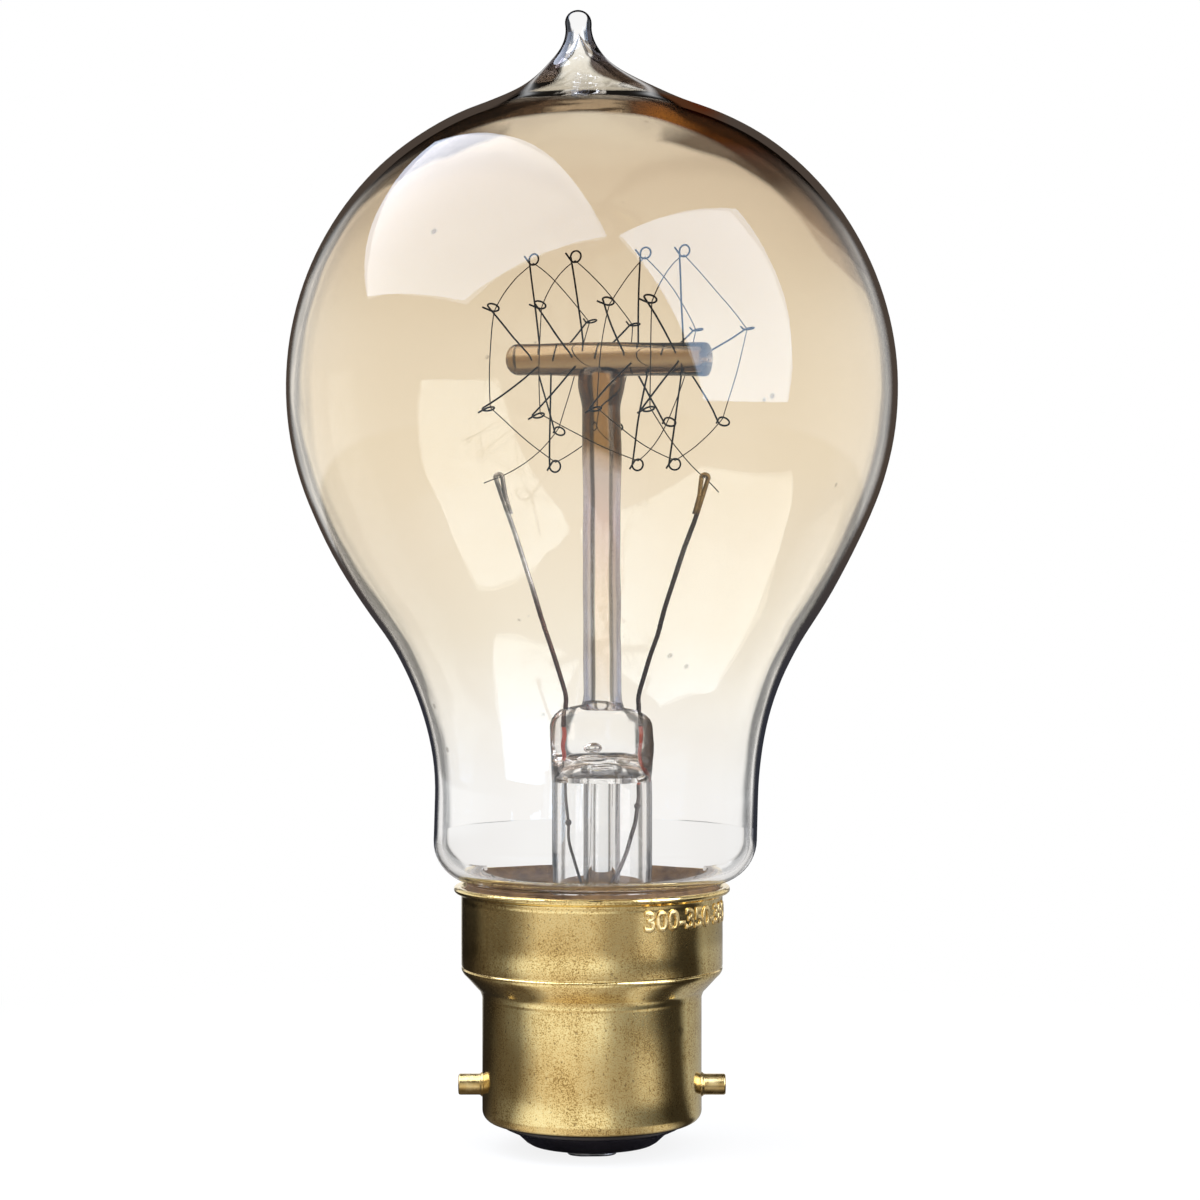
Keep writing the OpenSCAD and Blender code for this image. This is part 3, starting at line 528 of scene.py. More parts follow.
# Greys by bearing: where, how light and, where it isn't 0.97, how warm
REAR_LEFT, REAR_RIGHT = ((0.000, 0.9), (0.040, 0.5)), ((0.900, 0.38), (0.960, 0.4), (1.000, 0.9))
BARREL_BANDS = (
    (0.075, 0.02, 0.7), (0.150, 0.03, 0.7), (0.213, 0.10, 0.7), (0.290, 0.13, 0.7), (0.325, 0.35, 0.8),
    (0.360, 0.72, 0.8), (0.430, 0.82, 0.82), (0.470, 0.72, 0.8), (0.510, 0.56, 0.8), (0.555, 0.40, 0.8),
    (0.600, 0.38, 0.8), (0.635, 0.60, 0.85), (0.665, 0.60, 0.85), (0.705, 0.14, 0.8), (0.735, 0.04, 0.7),
    (0.775, 0.05, 0.7), (0.810, 0.42))
BARREL_TOP_BANDS = (
    (0.075, 0.02, 0.7), (0.150, 0.03, 0.7), (0.213, 0.10, 0.7), (0.285, 0.25), (0.335, 0.9), (0.365, 1, 1),
    (0.525, 1, 1), (0.560, 0.45), (0.620, 0.20), (0.700, 0.03, 0.8), (0.775, 0.04, 0.7), (0.810, 0.40))
SKIRT_BANDS = (
    (0.060, 0.015, 0.7), (0.165, 0.02, 0.7), (0.205, 0.10, 0.7), (0.285, 0.12, 0.7), (0.325, 0.26, 0.8),
    (0.375, 0.86, 0.8), (0.440, 0.82, 0.8), (0.500, 0.78, 0.8), (0.545, 0.40, 0.75), (0.600, 0.40, 0.75),
    (0.625, 0.72, 0.8), (0.655, 0.70, 0.8), (0.690, 0.20, 0.8), (0.722, 0.03, 0.7), (0.772, 0.04, 0.7),
    (0.805, 0.40))
LEFT_OF_GLASS = (
    (0.000, 1, 1), (0.038, 1, 1), (0.044, 0.16), (0.062, 0.16), (0.080, 0.9), (0.200, 0.9), (0.280, 0.55),
    (0.340, 0.55))


def bearing(x, y):
    """Compass of a direction: 0.5 towards the viewer, 0.25 to the left, 0.75 to the right, 0 and 1 behind."""
    return x.maths("ARCTAN2", y * -1.0) / (2 * math.pi) + 0.5


def bands(f, way, greys):
    """A ramp of greys round the compass."""
    return f.ramp(way, [(spot, grey(*light)) for spot, *light in greys])


def grey(v, warm=0.97):
    return (v, v * (1 + warm) / 2, v * warm)


def cap_surroundings(f, x, y, away):
    """What the brass mirrors in the floor: dark at the sides and light before the viewer. The barrel's
    bands lie nearest to the bulb, then those of its top, and those of the skirt lie furthest away."""
    way = bearing(x, y)
    barrel, top, skirt = (bands(f, way, REAR_LEFT + row + REAR_RIGHT)
                          for row in (BARREL_BANDS, BARREL_TOP_BANDS, SKIRT_BANDS))
    foot = f.between(away, 0.048, 0.034) * f.between(away, 0.019, 0.026)
    shade = f.mix(foot.maths("MAXIMUM", f.between(away, 0.080, 0.092)), barrel, top)
    belly = f.between(away, 0.150, 0.180) * f.between(away, 0.250, 0.215) * f.between(way, 0.30, 0.38)
    skirt = f.mix(belly * 0.36, skirt, (0.02, 0.012, 0.004))
    return f.mix(f.between(away, 0.118, 0.135), shade, skirt)


def glass_surroundings(f, x, y):
    """What the glass bends into view: white behind, a narrow dark gap either side, paler grey in front."""
    right = tuple((1 - spot, *light) for spot, *light in reversed(LEFT_OF_GLASS))
    return bands(f, bearing(x, y), LEFT_OF_GLASS + ((0.500, 0.75),) + right)


def floor_white():
    """A white sheet that takes the lamps' light and shadow near the bulb and is plain white further out.
    Mirrored in metal or seen through glass it shows their surroundings, with a painted black shadow under the
    cap."""
    f = new_finish("white_floor")
    x, y = f.axes(f.place())[:2]
    away = (x * x + y * y) ** 0.5
    lit = f.add("ShaderNodeBsdfDiffuse", values={"Color": (0.9, 0.9, 0.9)})
    round_glass = glass_surroundings(f, x, y)
    # Painted shadow: black under the cap, seen only in what the metal mirrors
    near = f.mix(f.between(away, 0.0085, 0.0115), (0.015, 0.015, 0.02), cap_surroundings(f, x, y, away))
    mirrored = f.mix(f.between(away, 0.32, 0.40), near, round_glass)
    camera_ray, through_glass = f.ray("Camera"), f.ray("Transmission")
    shade = f.mix(camera_ray, f.mix(through_glass, mirrored, round_glass), (1, 1, 1))
    white = f.add("ShaderNodeEmission", values={"Color": shade})
    seen = f.ray("Glossy").maths("MAXIMUM", through_glass)
    share = seen.maths("MAXIMUM", camera_ray * (f.between(away, 0.03, 0.13) * 0.14 + 0.86))
    return f.surface(f.both(share, lit, white))


# Modelling


def fresh():
    """Nothing selected and no piece in edit mode."""
    if bpy.context.object and bpy.context.object.mode != "OBJECT":
        bpy.ops.object.mode_set(mode="OBJECT")
    bpy.ops.object.select_all(action="DESELECT")


def pick(*pieces):
    """Selects these pieces alone. The last of them is the active one."""
    fresh()
    for piece in pieces:
        piece.select_set(True)
    bpy.context.view_layer.objects.active = pieces[-1]


def lay(piece, place):
    """Moves and turns a piece, and keeps its place in its mesh."""
    pick(piece)
    piece.matrix_world = place
    bpy.ops.object.transform_apply()


def arc(middle, r, start, end, steps):
    """Points of an arc in the X-Z plane, angles in degrees."""
    turns = [math.radians(start + (end - start) * i / steps) for i in range(steps + 1)]
    return [(middle[0] + r * math.cos(a), middle[1] + r * math.sin(a)) for a in turns]


def through(points, steps):
    """A smooth line through points, steps short pieces to each stretch."""
    spots = [Vector(p) for p in points]
    ends = [spots[0] * 2 - spots[1]] + spots + [spots[-1] * 2 - spots[-2]]
    line = []
    for a, b, c, d in zip(ends, ends[1:], ends[2:], ends[3:]):
        for i in range(steps):
            t = i / steps
            line.append(0.5 * ((2 * b) + (c - a) * t + (2 * a - 5 * b + 4 * c - d) * t * t
                               + (3 * b - a - 3 * c + d) * t ** 3))
    return line + [spots[-1]]


def turned(name, outline, x=0.0, steps=96, closed=False):
    """A round piece: one vertex is drawn along the outline and spun about the upright line at x."""
    fresh()
    start = outline[0]
    bpy.ops.mesh.primitive_plane_add(size=0.1 * MM, location=((x + start[0]) * MM, 0, start[1] * MM))
    piece = bpy.context.object
    piece.name = name
    bpy.ops.object.transform_apply()
    bpy.ops.object.mode_set(mode="EDIT")
    bpy.ops.mesh.merge(type="CENTER")
    spots = outline + [outline[0]] if closed else outline
    for a, b in zip(spots, spots[1:]):
        step = ((b[0] - a[0]) * MM, 0, (b[1] - a[1]) * MM)
        bpy.ops.mesh.extrude_region_move(TRANSFORM_OT_translate={"value": step})
    bpy.ops.mesh.select_all(action="SELECT")
    bpy.ops.mesh.spin(steps=steps, angle=2 * math.pi, center=(x * MM, 0, 0), axis=(0, 0, 1))
    tidy_skin()
    return piece


def tidy_skin():
    """Merges doubles, turns the faces outwards and leaves edit mode."""
    bpy.ops.mesh.select_all(action="SELECT")
    bpy.ops.mesh.remove_doubles(threshold=0.002 * MM)
    bpy.ops.mesh.normals_make_consistent(inside=False)
    bpy.ops.object.mode_set(mode="OBJECT")


def bent_wire(name, points, r, sides=10):
    """A round wire bent along points, closed at both ends."""
    fresh()
    bpy.ops.curve.primitive_bezier_curve_add(radius=MM, location=(0, 0, 0))
    piece = bpy.context.object
    piece.name = name
    curve = piece.data
    curve.splines.clear()
    line = curve.splines.new("POLY")
    line.points.add(len(points) - 1)
    for spot, p in zip(line.points, points):
        spot.co = (p[0] * MM, p[1] * MM, p[2] * MM, 1)
    curve.bevel_depth = r * MM
    curve.bevel_resolution = max(0, sides // 2 - 2)
    curve.use_fill_caps = True
    bpy.ops.object.convert(target="MESH")
    return bpy.context.object


def finished(piece, finish, slot, *nodes, smooth=40):
    """Gives a piece its finish, its body and the CAD nodes it stands for."""
    pick(piece)
    bpy.ops.object.shade_smooth_by_angle(angle=math.radians(smooth))
    piece.data.materials.clear()
    piece.data.materials.append(finish)
    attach(piece, "root")
    if nodes:
        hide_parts(*nodes)
    return piece


def apply_modifier(piece, kind, **settings):
    modifier = piece.modifiers.new(kind.lower(), kind)
    for name, value in settings.items():
        setattr(modifier, name, value)
    bpy.context.view_layer.objects.active = piece
    bpy.ops.object.modifier_apply(modifier=modifier.name)


def ripple(piece, size, strength):
    """Slow waves of hand-blown glass or rolled sheet, size and strength in millimetres."""
    cloud = bpy.data.textures.new(piece.name + "_ripple", "CLOUDS")
    cloud.noise_scale = size * MM
    apply_modifier(piece, "DISPLACE", texture=cloud, texture_coords="LOCAL", mid_level=0.5,
                   strength=strength * MM)
    bpy.data.textures.remove(cloud)


# Envelope


def branch(r, latitude):
    """Middle of the arc of radius r that runs on from the dome's circle at a latitude."""
    slope = math.radians(latitude)
    return ((DOME_R - r) * math.cos(slope), DOME_Z + (DOME_R - r) * math.sin(slope))


def body_outline(t, lat):
    """The blown body from the crown at latitude lat down to the neck, t inside the outer skin."""
    haunch = branch(HAUNCH_R, -DOME_DROP)
    fillet_x = NECK_R + FILLET_R
    drop = math.sqrt((HAUNCH_R + FILLET_R) ** 2 - (fillet_x - haunch[0]) ** 2)
    turn = math.degrees(math.atan2(drop, fillet_x - haunch[0]))
    return (arc(branch(CROWN_R, CROWN_LAT), CROWN_R - t, lat, CROWN_LAT, 14)[:-1]
            + arc((0, DOME_Z), DOME_R - t, CROWN_LAT, -DOME_DROP, 30)[:-1]
            + arc(haunch, HAUNCH_R - t, -DOME_DROP, -turn, 10)[:-1]
            + arc((fillet_x, haunch[1] - drop), FILLET_R + t, 180 - turn, 180, 18))


def curl_outline(t, z):
    """The neck's curled lower end, from the neck in to the seal at height z."""
    middle = (NECK_R - CURL_R, CURL_Z)
    end = -math.degrees(math.acos((SEAL_R - t - middle[0]) / (CURL_R - t)))
    return arc(middle, CURL_R - t, 0, end, 12) + [(SEAL_R - t, z)]


def crown_point(t, lat):
    """Radius and height of the crown at latitude lat, t inside the outer skin."""
    return arc(branch(CROWN_R, CROWN_LAT), CROWN_R - t, lat, lat, 1)[0]


def pip_outline():
    """The drawn tip, from its top down to where it leaves the crown."""
    foot = crown_point(0, PIP_LAT)
    turn_z = foot[1] + (foot[0] - PIP_WAIST_R) / math.tan(math.radians(PIP_LAT))
    knob = arc((KNOB_X, PIP_TOP - KNOB_R), KNOB_R, 92.7, 0, 12)
    flank = []
    for i in range(1, 30):
        t = i / 30
        a, b, c = (1 - t) ** 2, 2 * t * (1 - t), t * t
        flank.append((PIP_WAIST_R * (a + b) + foot[0] * c, PIP_WAIST_Z * a + turn_z * b + foot[1] * c))
    return [(0, PIP_TOP)] + knob[1:] + [(KNOB_X + KNOB_R, 106.35), (PIP_WAIST_R, PIP_WAIST_Z)] + flank


def glass_envelope():
    """One skin of blown glass: outside, round the sealed edge, and back up the inside."""
    inner_lat, sealed_top = PIP_LAT + 4, SEAL_Z + SEAL_T
    bore = through([(r, 0, z) for r, z in (*PIP_BORE, crown_point(WALL, inner_lat))], 4)
    inside = ([(p[0], p[2]) for p in bore[:-1]] + body_outline(WALL, inner_lat)
              + curl_outline(WALL, sealed_top))
    outline = (pip_outline() + body_outline(0, PIP_LAT) + curl_outline(0, SEAL_Z)
               + [(FLARE_R + 0.02, SEAL_Z), (FLARE_R + 0.02, sealed_top)] + inside[::-1])
    glass = turned("amber_glass_envelope", outline, steps=160)
    lean(glass)
    ripple(glass, 9.0, 0.05)
    return finished(glass, tinted_glass(), "tinted_glass", "envelope", smooth=60)


def lean(glass):
    """Hand-blown: the pip leans left and the neck sits a little to the right."""
    for spot in glass.data.vertices:
        z = spot.co.z / MM
        for (z0, s0), (z1, s1) in zip(LEAN, LEAN[1:]):
            if z0 <= z <= z1:
                t = (z - z0) / (z1 - z0)
                t = t * t * (3 - 2 * t)
                spot.co.x += (s0 + (s1 - s0) * t) * MM


# Stem


def stem_tube(finish):
    """The flare: a tube whose lower end is opened out and sealed to the neck."""
    bend = FLARE_R - TUBE_R - 0.6
    foot = SEAL_Z + SEAL_T
    in_r = TUBE_R - TUBE_WALL
    outline = ([(TUBE_R, PRESS_Z)]
               + arc((TUBE_R + bend, foot + bend), bend, 180, 270, 14) + [(FLARE_R, foot), (FLARE_R, SEAL_Z)]
               + arc((in_r + bend + TUBE_WALL, SEAL_Z + bend), bend + TUBE_WALL * 0.5, 270, 180, 14)
               + [(in_r, SEAL_Z + bend + TUBE_WALL), (in_r, PRESS_Z)])
    tube = turned("stem_tube", outline, x=MOUNT_X, steps=96, closed=True)
    return finished(tube, finish, "clear_glass", "stem_flare")


def pinched_press(finish):
    """The tube's upper end, squeezed flat round the wires, with air pockets left in it."""
    slab = 0.5
    fresh()
    bpy.ops.mesh.primitive_cylinder_add(vertices=96, radius=TUBE_R * MM, depth=slab * MM,
                                        location=(MOUNT_X * MM, 0, (PRESS_Z + slab / 2) * MM))
    press = bpy.context.object
    press.name = "stem_press_glass"
    bpy.ops.object.transform_apply()
    grow_top(press, PRESS_SECTIONS, (MOUNT_X, 0))
    slope_shoulders(press)
    ripple(press, 1.9, 0.34)
    pick(*[air_pocket(*bubble) for bubble in PRESS_POCKETS], press)
    bpy.ops.object.join()
    return finished(press, finish, "clear_glass", "stem_press", smooth=60)


def slope_shoulders(press):
    """Lifts the press's top under the rod and lets its right shoulder sink."""
    sloped = 4
    for spot in press.data.vertices:
        x = spot.co.x / MM - MOUNT_X
        rise = max(0.0, (spot.co.z / MM - PRESS_TOP) / sloped + 1)
        fall = min(1.0, max(0.0, (x - 1.2) / 3.6))
        spot.co.z += rise * (0.5 * math.exp(-((x + 0.3) / 1.7) ** 2) - 0.75 * fall * fall) * MM


def air_pocket(x, z, r, stretch):
    """A closed bubble whose faces look into the air."""
    fresh()
    bpy.ops.mesh.primitive_uv_sphere_add(segments=28, ring_count=16, radius=r * MM, scale=stretch,
                                         location=((MOUNT_X + x) * MM, -0.2 * MM, z * MM))
    pocket = bpy.context.object
    bpy.ops.object.transform_apply()
    ripple(pocket, 0.9, 0.12)
    bpy.ops.object.mode_set(mode="EDIT")
    bpy.ops.mesh.select_all(action="SELECT")
    bpy.ops.mesh.normals_make_consistent(inside=True)
    fresh()
    return pocket


def grow_top(piece, steps, middle):
    """Draws the top face of a round piece up through steps of (height, x share, y share)."""
    top = max(v.co.z for v in piece.data.vertices)
    old_x, old_y = 1.0, 1.0
    bpy.ops.object.mode_set(mode="EDIT")
    bpy.ops.mesh.select_mode(type="FACE")
    bpy.ops.mesh.select_all(action="DESELECT")
    bpy.ops.object.mode_set(mode="OBJECT")
    for face in piece.data.polygons:
        face.select = face.normal.z > 0.9 and abs(face.center.z - top) < 1e-6
    bpy.ops.object.mode_set(mode="EDIT")
    z = top / MM
    for high, x_share, y_share in steps:
        bpy.ops.mesh.extrude_region_move(TRANSFORM_OT_translate={"value": (0, 0, (high - z) * MM)})
        bpy.ops.transform.resize(value=(x_share / old_x, y_share / old_y, 1),
                                 center_override=(middle[0] * MM, middle[1] * MM, high * MM))
        z, old_x, old_y = high, x_share, y_share
    bpy.ops.mesh.select_mode(type="VERT")
    tidy_skin()


def exhaust_tube(finish):
    """The pumping tube under the press, open to it above and drawn to a closed tip below."""
    top, tip = PRESS_Z + 0.4, EXHAUST_TIP_Z
    outline = [(0, tip), (EXHAUST_R * 0.25, tip + 0.1), (EXHAUST_R * 0.5, tip + 0.5),
               (EXHAUST_R * 0.82, tip + 1.8), (EXHAUST_R, tip + 3.4), (EXHAUST_R, top),
               (EXHAUST_BORE_R, top), (EXHAUST_BORE_R, tip + 4.2), (EXHAUST_BORE_R * 0.6, tip + 3.1),
               (0, tip + 2.6)]
    tube = turned("exhaust_tube_glass", outline, x=MOUNT_X, steps=64)
    return finished(tube, finish, "clear_glass", "exhaust_tube")


def stem_rod(finish):
    """The rod, with a foot melted to the press and a swelling where it is fused to the crossbar."""
    joint = BAR_Z - BAR_R
    low = joint - 3.4
    foot = [(ROD_R + out, PRESS_TOP + up)
            for out, up in ((0.35, -0.3), (0.3, 0), (0.1, 0.6), (0, 1.4), (0, 12))]
    swell = [(ROD_R + (JOINT_R - ROD_R) * (1 - math.cos(math.radians(18 * i))) / 2, low + 0.3 * i)
             for i in range(1, 11)]
    head = [(JOINT_R * 0.97, joint + 0.4), (JOINT_R * 0.8, joint + 0.9), (0, joint + 0.95)]
    outline = [(0, PRESS_TOP - 0.3)] + foot + [(ROD_R, low)] + swell + head
    rod = turned("stem_rod_glass", outline, x=MOUNT_X, steps=64)
    return finished(rod, finish, "clear_glass", "stem_rod")


def crossbar(finish):
    """The bar that carries the supports' roots. Its right end comes towards the viewer and hangs a little."""
    round_end, half = 1.2, BAR_L / 2
    outline = ([(0, -half)] + arc((BAR_R - round_end, round_end - half), round_end, 270, 360, 8)
               + [(BAR_R, half - 0.2), (BAR_R - 0.06, half - 0.06), (BAR_R - 0.2, half), (0, half)])
    bar = turned("crossbar_glass", outline, steps=64)
    lay(bar, Matrix.Translation((BAR_X * MM, 0, (BAR_Z + 0.12) * MM))
        @ Matrix.Rotation(math.radians(-BAR_TURN), 4, "Z")
        @ Matrix.Rotation(math.radians(90 + BAR_HANG), 4, "Y"))
    return finished(bar, finish, "clear_glass", "crossbar")


# Hook cage and filament

TURN = math.radians(BAR_TURN)
BAR_DIR = Vector((math.cos(TURN), -math.sin(TURN), 0))
FRONT_DIR = Vector((-math.sin(TURN), -math.cos(TURN), 0))
UP_DIR = Vector((0, 0, 1))
LOOP_MID = HOOK_REACH - LOOP_R - HOOK_WIRE_R
LOOP_SHIFT = 2 * HOOK_WIRE_R + 0.05
LOOP_SWEEP = 330

# Rows of supports: name, stations of the roots, stations of the loops, angles from straight up
HOOK_ROWS = (
    ("top", (-7.3, -2.3, 3.5, 8.5), (-8.1, -3.3, 4.4, 8.5), (0, 0, 0, 0)),
    ("front_upper", (-7.9, -3.2, 2.4, 7.9), (-7.9, -2.8, 4.6, 9.0), (62, 62, 62, 62)),
    ("front_lower", (-7.2, -2.9, 3.1, 8.2), (-8.6, -3.3, 3.1, 8.55), (119, 124, 121, 122)),
    ("bottom", (-6.0, 4.7, 8.3), (-5.7, 3.4, 7.4), (180, 180, 180)),
    ("back_lower", (-8.0, -2.4, 2.6, 8.1), (-9.1, -2.7, 3.1, 9.2), (-129, -126, -124, -125)),
    ("back_upper", (-5.7, -1.1, 5.9, 10.2), (-5.9, -1.1, 5.8, 11.5), (-62, -65, -70, -71)),
)


def spoke(angle):
    """The way out from the bar, square to it, at an angle from straight up towards the viewer."""
    a = math.radians(angle)
    return math.cos(a) * UP_DIR + math.sin(a) * FRONT_DIR


def across(angle):
    """The way square to the bar and to the spoke at that angle."""
    a = math.radians(angle)
    return -math.sin(a) * UP_DIR + math.cos(a) * FRONT_DIR


def bar_point(station, out, angle):
    """A point at a station along the bar and a distance out from its axis."""
    return Vector((BAR_X, 0, BAR_Z)) + station * BAR_DIR + out * spoke(angle)


def loop_point(station, angle, w):
    """A point of the pigtail loop, which shifts sideways by a wire's width as it closes."""
    turn = math.radians(w)
    return (bar_point(station + LOOP_R * math.cos(turn), LOOP_MID + LOOP_R * math.sin(turn), angle)
            + across(angle) * LOOP_SHIFT * (180 - w) / LOOP_SWEEP)


def support_path(root, tip, angle):
    """From inside the bar out along the stem, over the top of the loop and past the stem."""
    foot = bar_point(root, BAR_R - 1, angle)
    head = bar_point(tip - LOOP_R, LOOP_MID, angle)
    bow = BAR_DIR * chance.uniform(-0.12, 0.12) + across(angle) * chance.uniform(-0.12, 0.12)
    stem = [foot.lerp(head, t) + bow * 4 * t * (1 - t) for t in [i / 10 for i in range(10)]]
    loop = [loop_point(tip, angle, 180 - LOOP_SWEEP * i / 30) for i in range(31)]
    tail = loop[-1] + 0.85 * (loop[-1] - loop[-2]).normalized()
    return stem + loop + [tail]


def supports(finish):
    for row, roots, tips, angles in HOOK_ROWS:
        for i, (root, tip, angle) in enumerate(zip(roots, tips, angles), 1):
            name = f"{row}_{i}"
            hook = bent_wire("hook_" + name, support_path(root, tip, angle), HOOK_WIRE_R, sides=10)
            finished(hook, finish, "support_wire", "support_" + name)


def filament(finish):
    """One wire strung round the cage: back lower, back upper, top, front upper, front lower, bottom."""
    inside = LOOP_MID - LOOP_R + HOOK_WIRE_R + FILAMENT_R + 0.02
    rows = {row[0]: row for row in HOOK_ROWS}
    order = ("back_lower", "back_upper", "top", "front_upper", "front_lower", "bottom")
    eyes = []
    for i in range(4):
        for name in order:
            tips, angles = rows[name][2], rows[name][3]
            if i < len(tips):
                eyes.append(bar_point(tips[i], inside, angles[i]) + across(angles[i]) * LOOP_SHIFT * 0.8)
    side = LEAD_R + FILAMENT_R + 0.15
    left, right = (Vector((MOUNT_X + s * LEAD_TOP_X, 0, LEAD_TOP_Z - LEAD_BEND_R)) for s in (-1, 1))
    start = [left + Vector(step) for step in ((-1.5, -side - 0.1, -0.6), (-0.15, -side, -0.05), (0, side, 0))]
    end = [right + Vector(step) for step in ((0, -side, 0), (0.15, side, -0.05), (1.4, side + 0.1, -1.4))]
    held = [start[-1]] + eyes + [end[0]]
    line = start[:-1]
    for a, b in zip(held, held[1:]):
        middle = (a + b) / 2 - Vector((BAR_X, 0, BAR_Z))
        out = (middle - middle.dot(BAR_DIR) * BAR_DIR).normalized()
        bow = out * (b - a).length * chance.uniform(0.02, 0.06)
        bow += BAR_DIR * (b - a).length * chance.uniform(-0.02, 0.02)
        skew = chance.uniform(0.85, 1.2)
        line += [a.lerp(b, t) + bow * 4 * t ** skew * (1 - t ** skew) for t in [i / 14 for i in range(14)]]
    wire = bent_wire("filament_wire", line + end, FILAMENT_R, sides=8)
    return finished(wire, finish, "filament_wire", "filament")


# Leads


def lead_path(s):
    """Up from inside the press, out to its top with a slight bow, over, and down again."""
    foot = Vector((MOUNT_X + s * LEAD_X, 0, PRESS_TOP))
    eye = Vector((MOUNT_X + s * LEAD_TOP_X, 0, LEAD_TOP_Z - LEAD_BEND_R))
    top = eye + Vector((s * LEAD_BEND_R, 0, 0))
    knee = foot + Vector((0, 0, 1.2))
    bow = Vector((s * 0.18, 0, 0))
    climb = [knee.lerp(top, t) - bow * 4 * t * (1 - t) for t in (0, 0.1, 0.25, 0.4, 0.55, 0.7, 0.85, 0.96)]
    fold = [eye + Vector((s * x, 0, z)) for x, z in arc((0, 0), LEAD_BEND_R, 0, 180, 12)]
    tail = [eye + Vector((-s * (LEAD_BEND_R + 0.28), 0, -0.5 * LEAD_FOLD)),
            eye + Vector((-s * (LEAD_BEND_R + 0.8), 0, -LEAD_FOLD))]
    sunk = [foot + Vector((0, 0, -2)), foot + Vector((0, 0, -0.8)), foot]
    return through(sunk + climb, 5)[:-1] + fold + tail


def outer_path(s):
    """From the seal wire's end, round the exhaust tube, down through the cap to its contact."""
    top = SEAL_TOP - SEAL_LENGTHS[s]
    x, y = MOUNT_X + s * LEAD_X, -s * CONTACT_Y
    start = [(x, 0, top), (x, 0, min(top, PRESS_Z) - 0.04 * PRESS_Z)]
    route = [(MOUNT_X + a * LEAD_X, b * CONTACT_Y, c * PRESS_Z) for a, b, c in ROUTES[s]]
    return start + route + [(0, y, 0.09 * PRESS_Z), (0, y, 0), (0, y, CONTACT_Z)]


def leads(nickels, copper, outer):
    """Each side's nickel lead, red seal wire, and outer lead with its weld bead."""
    for s, side, thick, nickel in ((-1, "left", 0.16, nickels[0]), (1, "right", 0.2, nickels[1])):
        lead = bent_wire("nickel_lead_" + side, lead_path(s), LEAD_R, sides=14)
        finished(lead, nickel, "nickel_wire", "lead_" + side)
        x = MOUNT_X + s * LEAD_X
        seal = [(x, 0, SEAL_TOP + 0.2)]
        seal += [(x + 0.08 * math.sin(i * 1.1), 0, SEAL_TOP - SEAL_LENGTHS[s] * i / 8) for i in range(9)]
        red = bent_wire("seal_wire_" + side, seal, 0.2, sides=12)
        finished(red, copper, "seal_wire", "dumet_" + side)
        path = outer_path(s)
        tail = bent_wire("outer_lead_" + side + "_wire", through(path, 4), thick, sides=10)
        fresh()
        bpy.ops.mesh.primitive_uv_sphere_add(segments=16, ring_count=10, radius=0.34 * MM,
                                             location=Vector(path[2]) * MM)
        bead = bpy.context.object
        bpy.ops.object.transform_apply()
        pick(bead, tail)
        bpy.ops.object.join()
        finished(tail, outer, "copper_wire", "outer_lead_" + side)


# Cap


def cap_skin(t):
    """Outline of the sheet from the barrel's mouth up to below the rim, t inside the outer face."""
    barrel, skirt, top = BARREL_R - t, SKIRT_R - t, SHOULDER_Z + SHOULDER_H
    mouth = arc((BARREL_R - BARREL_EDGE, BARREL_EDGE + BARREL_LOW), BARREL_EDGE - t, 270, 360, 10)
    wall = [(barrel, 0), (barrel, SHOULDER_Z - 0.6), (barrel, SHOULDER_Z - 0.38),
            (barrel + 0.025, SHOULDER_Z - 0.20)]
    hollow = [(barrel + out, SHOULDER_Z + up + t * 0.4)
              for out, up in ((0.08, -0.05), (0.18, 0.22), (0.34, 0.46), (0.5, 0.6))]
    bend = [(skirt - back, top + up + t * share)
            for back, up, share in ((0.55, -0.55, 0.4), (0.2, -0.2, 0.4), (0.05, 0.05, 0.3))]
    crease = [(skirt - back, top + up)
              for back, up in ((0, 0.24), (0.01, 0.32), (0.1, 0.42), (0.02, 0.52), (0, 0.64))]
    return mouth + wall + hollow + bend + crease + [(skirt, 15.0), (skirt, RIM_Z - RIM_H - 0.3)]


def brass_shell(finish):
    """Spun brass: barrel with a turned-in edge, shoulder, skirt and turned-out rim."""
    rim = [(SKIRT_R, RIM_Z - 1.0), (SKIRT_R + 0.06, RIM_Z - 0.86), (SKIRT_R + 0.22, RIM_Z - 0.74),
           (RIM_R - 0.16, RIM_Z - 0.62), (RIM_R - 0.03, RIM_Z - 0.48), (RIM_R, RIM_Z - 0.32),
           (RIM_R - 0.04, RIM_Z - 0.14), (RIM_R - 0.16, RIM_Z - 0.03), (RIM_R - 0.30, RIM_Z),
           (SKIRT_R + 0.1, RIM_Z - 0.06), (SKIRT_R - 0.2, RIM_Z - 0.4), (SKIRT_R - SHEET, RIM_Z - RIM_H)]
    edge = [(MOUTH_R, SHEET + BARREL_LOW), (MOUTH_R, BARREL_LOW)]
    outline = edge + cap_skin(0) + rim + cap_skin(SHEET)[::-1]
    shell = turned("brass_cap_shell", outline, steps=144, closed=True)
    ripple(shell, 6.0, 0.05)
    return finished(shell, finish, "cap_brass", "cap_shell", smooth=35)


